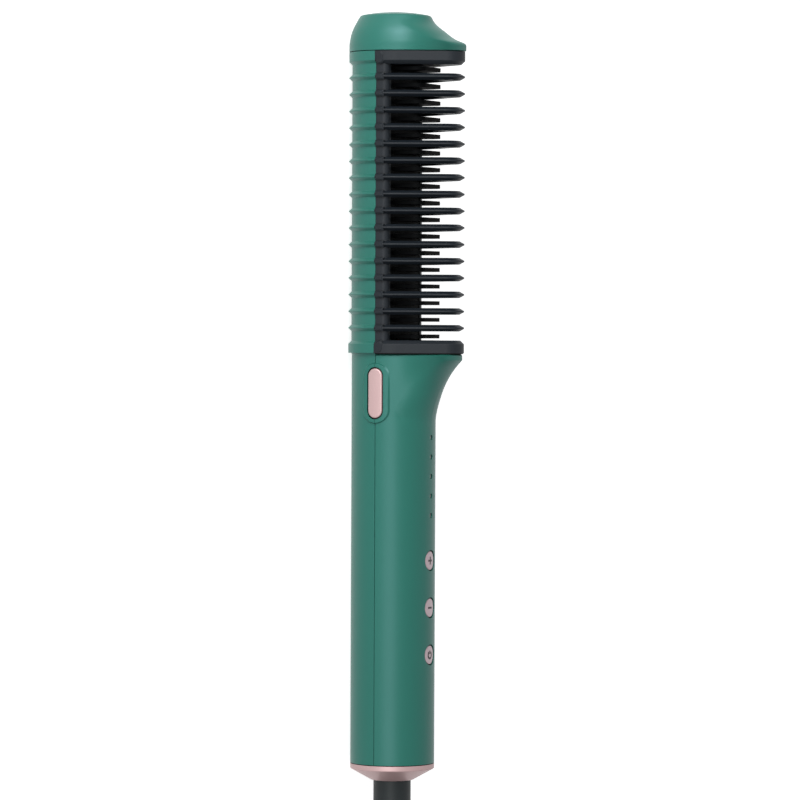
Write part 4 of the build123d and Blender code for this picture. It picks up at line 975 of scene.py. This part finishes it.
class BRUSH_OT_stage(bpy.types.Operator):
    """Build the floor, the lamps, the surroundings and the camera"""

    bl_idname = "brush.stage"
    bl_label = "Stage"

    def execute(self, context):
        stage = context.scene.brush_stage
        right = Vector((0.0, math.sin(stage.turn), math.cos(stage.turn)))
        self.surroundings(context.scene, stage, right)
        self.floor(stage)
        back = Vector((0.0, -math.cos(stage.turn), math.sin(stage.turn)))
        axis = Vector((HANDLE_END, 0.0, AXIS_HEIGHT))
        self.camera(context, stage, axis, right, back)
        self.lamps(stage, axis, right, back)
        context.scene.view_settings.view_transform = "Standard"
        return {"FINISHED"}

    def surroundings(self, scene, stage, right):
        """A white room: white where it shows, and a plain level of light on the brush, a
        little warmer from the side of its back than from the side of its fins."""
        world = bpy.data.worlds.new("White room")
        scene.world = world
        world.use_nodes = True
        tree = world.node_tree
        shown = self.shown_rays(tree)
        background = tree.nodes["Background"]
        glow = math_node(tree, "MULTIPLY", shown, 1.0 - stage.ambient)
        tree.links.new(math_node(tree, "ADD", glow, stage.ambient), background.inputs["Strength"])
        side = add(tree, "ShaderNodeVectorMath", operation="DOT_PRODUCT")
        tree.links.new(add(tree, "ShaderNodeTexCoord").outputs["Generated"], side.inputs[0])
        side.inputs[1].default_value = right
        share = add(tree, "ShaderNodeMapRange", From_Min=-0.9, From_Max=0.6)
        tree.links.new(side.outputs["Value"], share.inputs["Value"])
        tint = add(tree, "ShaderNodeMix", data_type="RGBA")
        tree.links.new(share.outputs["Result"], tint.inputs["Factor"])
        tint.inputs[6].default_value = WARM_LIGHT
        tint.inputs[7].default_value = COOL_LIGHT
        plain = add(tree, "ShaderNodeMix", data_type="RGBA")
        tree.links.new(shown, plain.inputs["Factor"])
        tree.links.new(tint.outputs[2], plain.inputs[6])
        plain.inputs[7].default_value = (1.0, 1.0, 1.0, 1.0)
        tree.links.new(plain.outputs[2], background.inputs["Color"])

    def shown_rays(self, tree):
        """1 where the picture, a reflection or clear glass shows the background."""
        path = tree.nodes.new("ShaderNodeLightPath")
        seen = math_node(tree, "MAXIMUM", path.outputs["Is Camera Ray"], path.outputs["Is Glossy Ray"])
        return math_node(tree, "MAXIMUM", seen, path.outputs["Is Transmission Ray"])

    def floor(self, stage):
        """A matt white floor that shows as white, with the brush's shadow on it."""
        deselect()
        bpy.ops.mesh.primitive_plane_add(size=FLOOR_SIZE, location=(0.0, 0.0, -FLOOR_SINK))
        floor = name_piece("floor")
        white = bpy.data.materials.new("White floor")
        white.use_nodes = True
        tree = white.node_tree
        bsdf = tree.nodes["Principled BSDF"]
        bsdf.inputs["Base Color"].default_value = (0.86, 0.86, 0.86, 1.0)
        bsdf.inputs["Roughness"].default_value = 0.9
        bsdf.inputs["Specular IOR Level"].default_value = 0.1
        bsdf.inputs["Emission Color"].default_value = (1.0, 1.0, 1.0, 1.0)
        glow = math_node(tree, "MULTIPLY", self.shown_rays(tree), stage.floor_glow)
        tree.links.new(glow, bsdf.inputs["Emission Strength"])
        floor.data.materials.append(white)

    def camera(self, context, stage, axis, right, back):
        """A camera a little nearer the head than the picture's middle, which it looks at."""
        data = bpy.data.cameras.new("Camera")
        data.sensor_width = 36.0
        data.lens = stage.lens
        data.clip_end = 50.0
        camera = bpy.data.objects.new("Camera", data)
        context.scene.collection.objects.link(camera)
        context.scene.camera = camera
        target = axis + Vector((-stage.aim, 0.0, 0.0)) + right * stage.aside
        place = axis + Vector((-stage.level, 0.0, 0.0)) + right * stage.aside + back * stage.distance
        away = (place - target).normalized()
        across = Vector((-1.0, 0.0, 0.0)).cross(away).normalized()
        facing = Matrix((across, away.cross(across), away)).transposed().to_4x4()
        camera.matrix_world = Matrix.Translation(place) @ facing @ Matrix.Rotation(stage.roll, 4, "Z")

    def lamps(self, stage, axis, right, back):
        """A softbox beside the camera, near the floor, and a smaller one past the head."""
        direction = back * math.cos(stage.key_lean) - right * math.sin(stage.key_lean)
        key = self.area_lamp("Key softbox", stage.key_power, stage.key_extent)
        middle = axis + Vector((stage.key_place, 0.0, 0.0))
        self.aim_lamp(key, middle + direction * stage.key_distance, direction)
        past, near, side = HEAD_LAMP
        direction = (Vector((past, 0.0, 0.0)) + back * near + right * side).normalized()
        small = self.area_lamp("Head softbox", stage.head_power, stage.head_extent)
        middle = axis - Vector((stage.head_place, 0.0, 0.0))
        self.aim_lamp(small, middle + direction * stage.head_distance, direction)

    def area_lamp(self, name, power, extent):
        data = bpy.data.lights.new(name, "AREA")
        data.shape = "RECTANGLE"
        data.size, data.size_y = extent
        data.energy = power
        lamp = bpy.data.objects.new(name, data)
        bpy.context.scene.collection.objects.link(lamp)
        return lamp

    def aim_lamp(self, lamp, place, direction):
        """Puts the lamp at its place, shining against the direction, its length along the brush."""
        up = direction.cross(Vector((1.0, 0.0, 0.0))).normalized()
        across = up.cross(direction)
        lamp.matrix_world = Matrix.Translation(place) @ Matrix((across, up, direction)).transposed().to_4x4()


class BRUSH_PT_panel(bpy.types.Panel):
    """Lists the steps of the brush in the sidebar"""

    bl_idname = "BRUSH_PT_panel"
    bl_label = "Hair straightening brush"
    bl_space_type = "VIEW_3D"
    bl_region_type = "UI"
    bl_category = "Brush"

    def draw(self, context):
        for step in STEPS:
            self.layout.operator(step.bl_idname)
        for name in SETTINGS:
            group = getattr(context.scene, name)
            box = self.layout.box()
            for label in group.bl_rna.properties.keys():
                if label not in ("rna_type", "name"):
                    box.prop(group, label)


STEPS = [
    BRUSH_OT_stage,
    BRUSH_OT_tie,
    BRUSH_OT_pins,
    BRUSH_OT_lead,
    BRUSH_OT_casing,
    BRUSH_OT_head,
    BRUSH_OT_seal,
    BRUSH_OT_swivel,
    BRUSH_OT_inner,
    BRUSH_OT_signs,
]
SETTINGS = {
    "brush_colours": BrushColours,
    "brush_lead": LeadSizes,
    "brush_signs": SignSizes,
    "brush_stage": StageSettings,
}


def register():
    for cls in [*SETTINGS.values(), *STEPS, BRUSH_PT_panel]:
        bpy.utils.register_class(cls)
    for name, cls in SETTINGS.items():
        setattr(bpy.types.Scene, name, bpy.props.PointerProperty(type=cls))


def unregister():
    for name in SETTINGS:
        delattr(bpy.types.Scene, name)
    for cls in reversed([*SETTINGS.values(), *STEPS, BRUSH_PT_panel]):
        bpy.utils.unregister_class(cls)


def main():
    register()
    for step in STEPS:
        group, name = step.bl_idname.split(".")
        getattr(getattr(bpy.ops, group), name)()


if __name__ == "__main__":
    main()
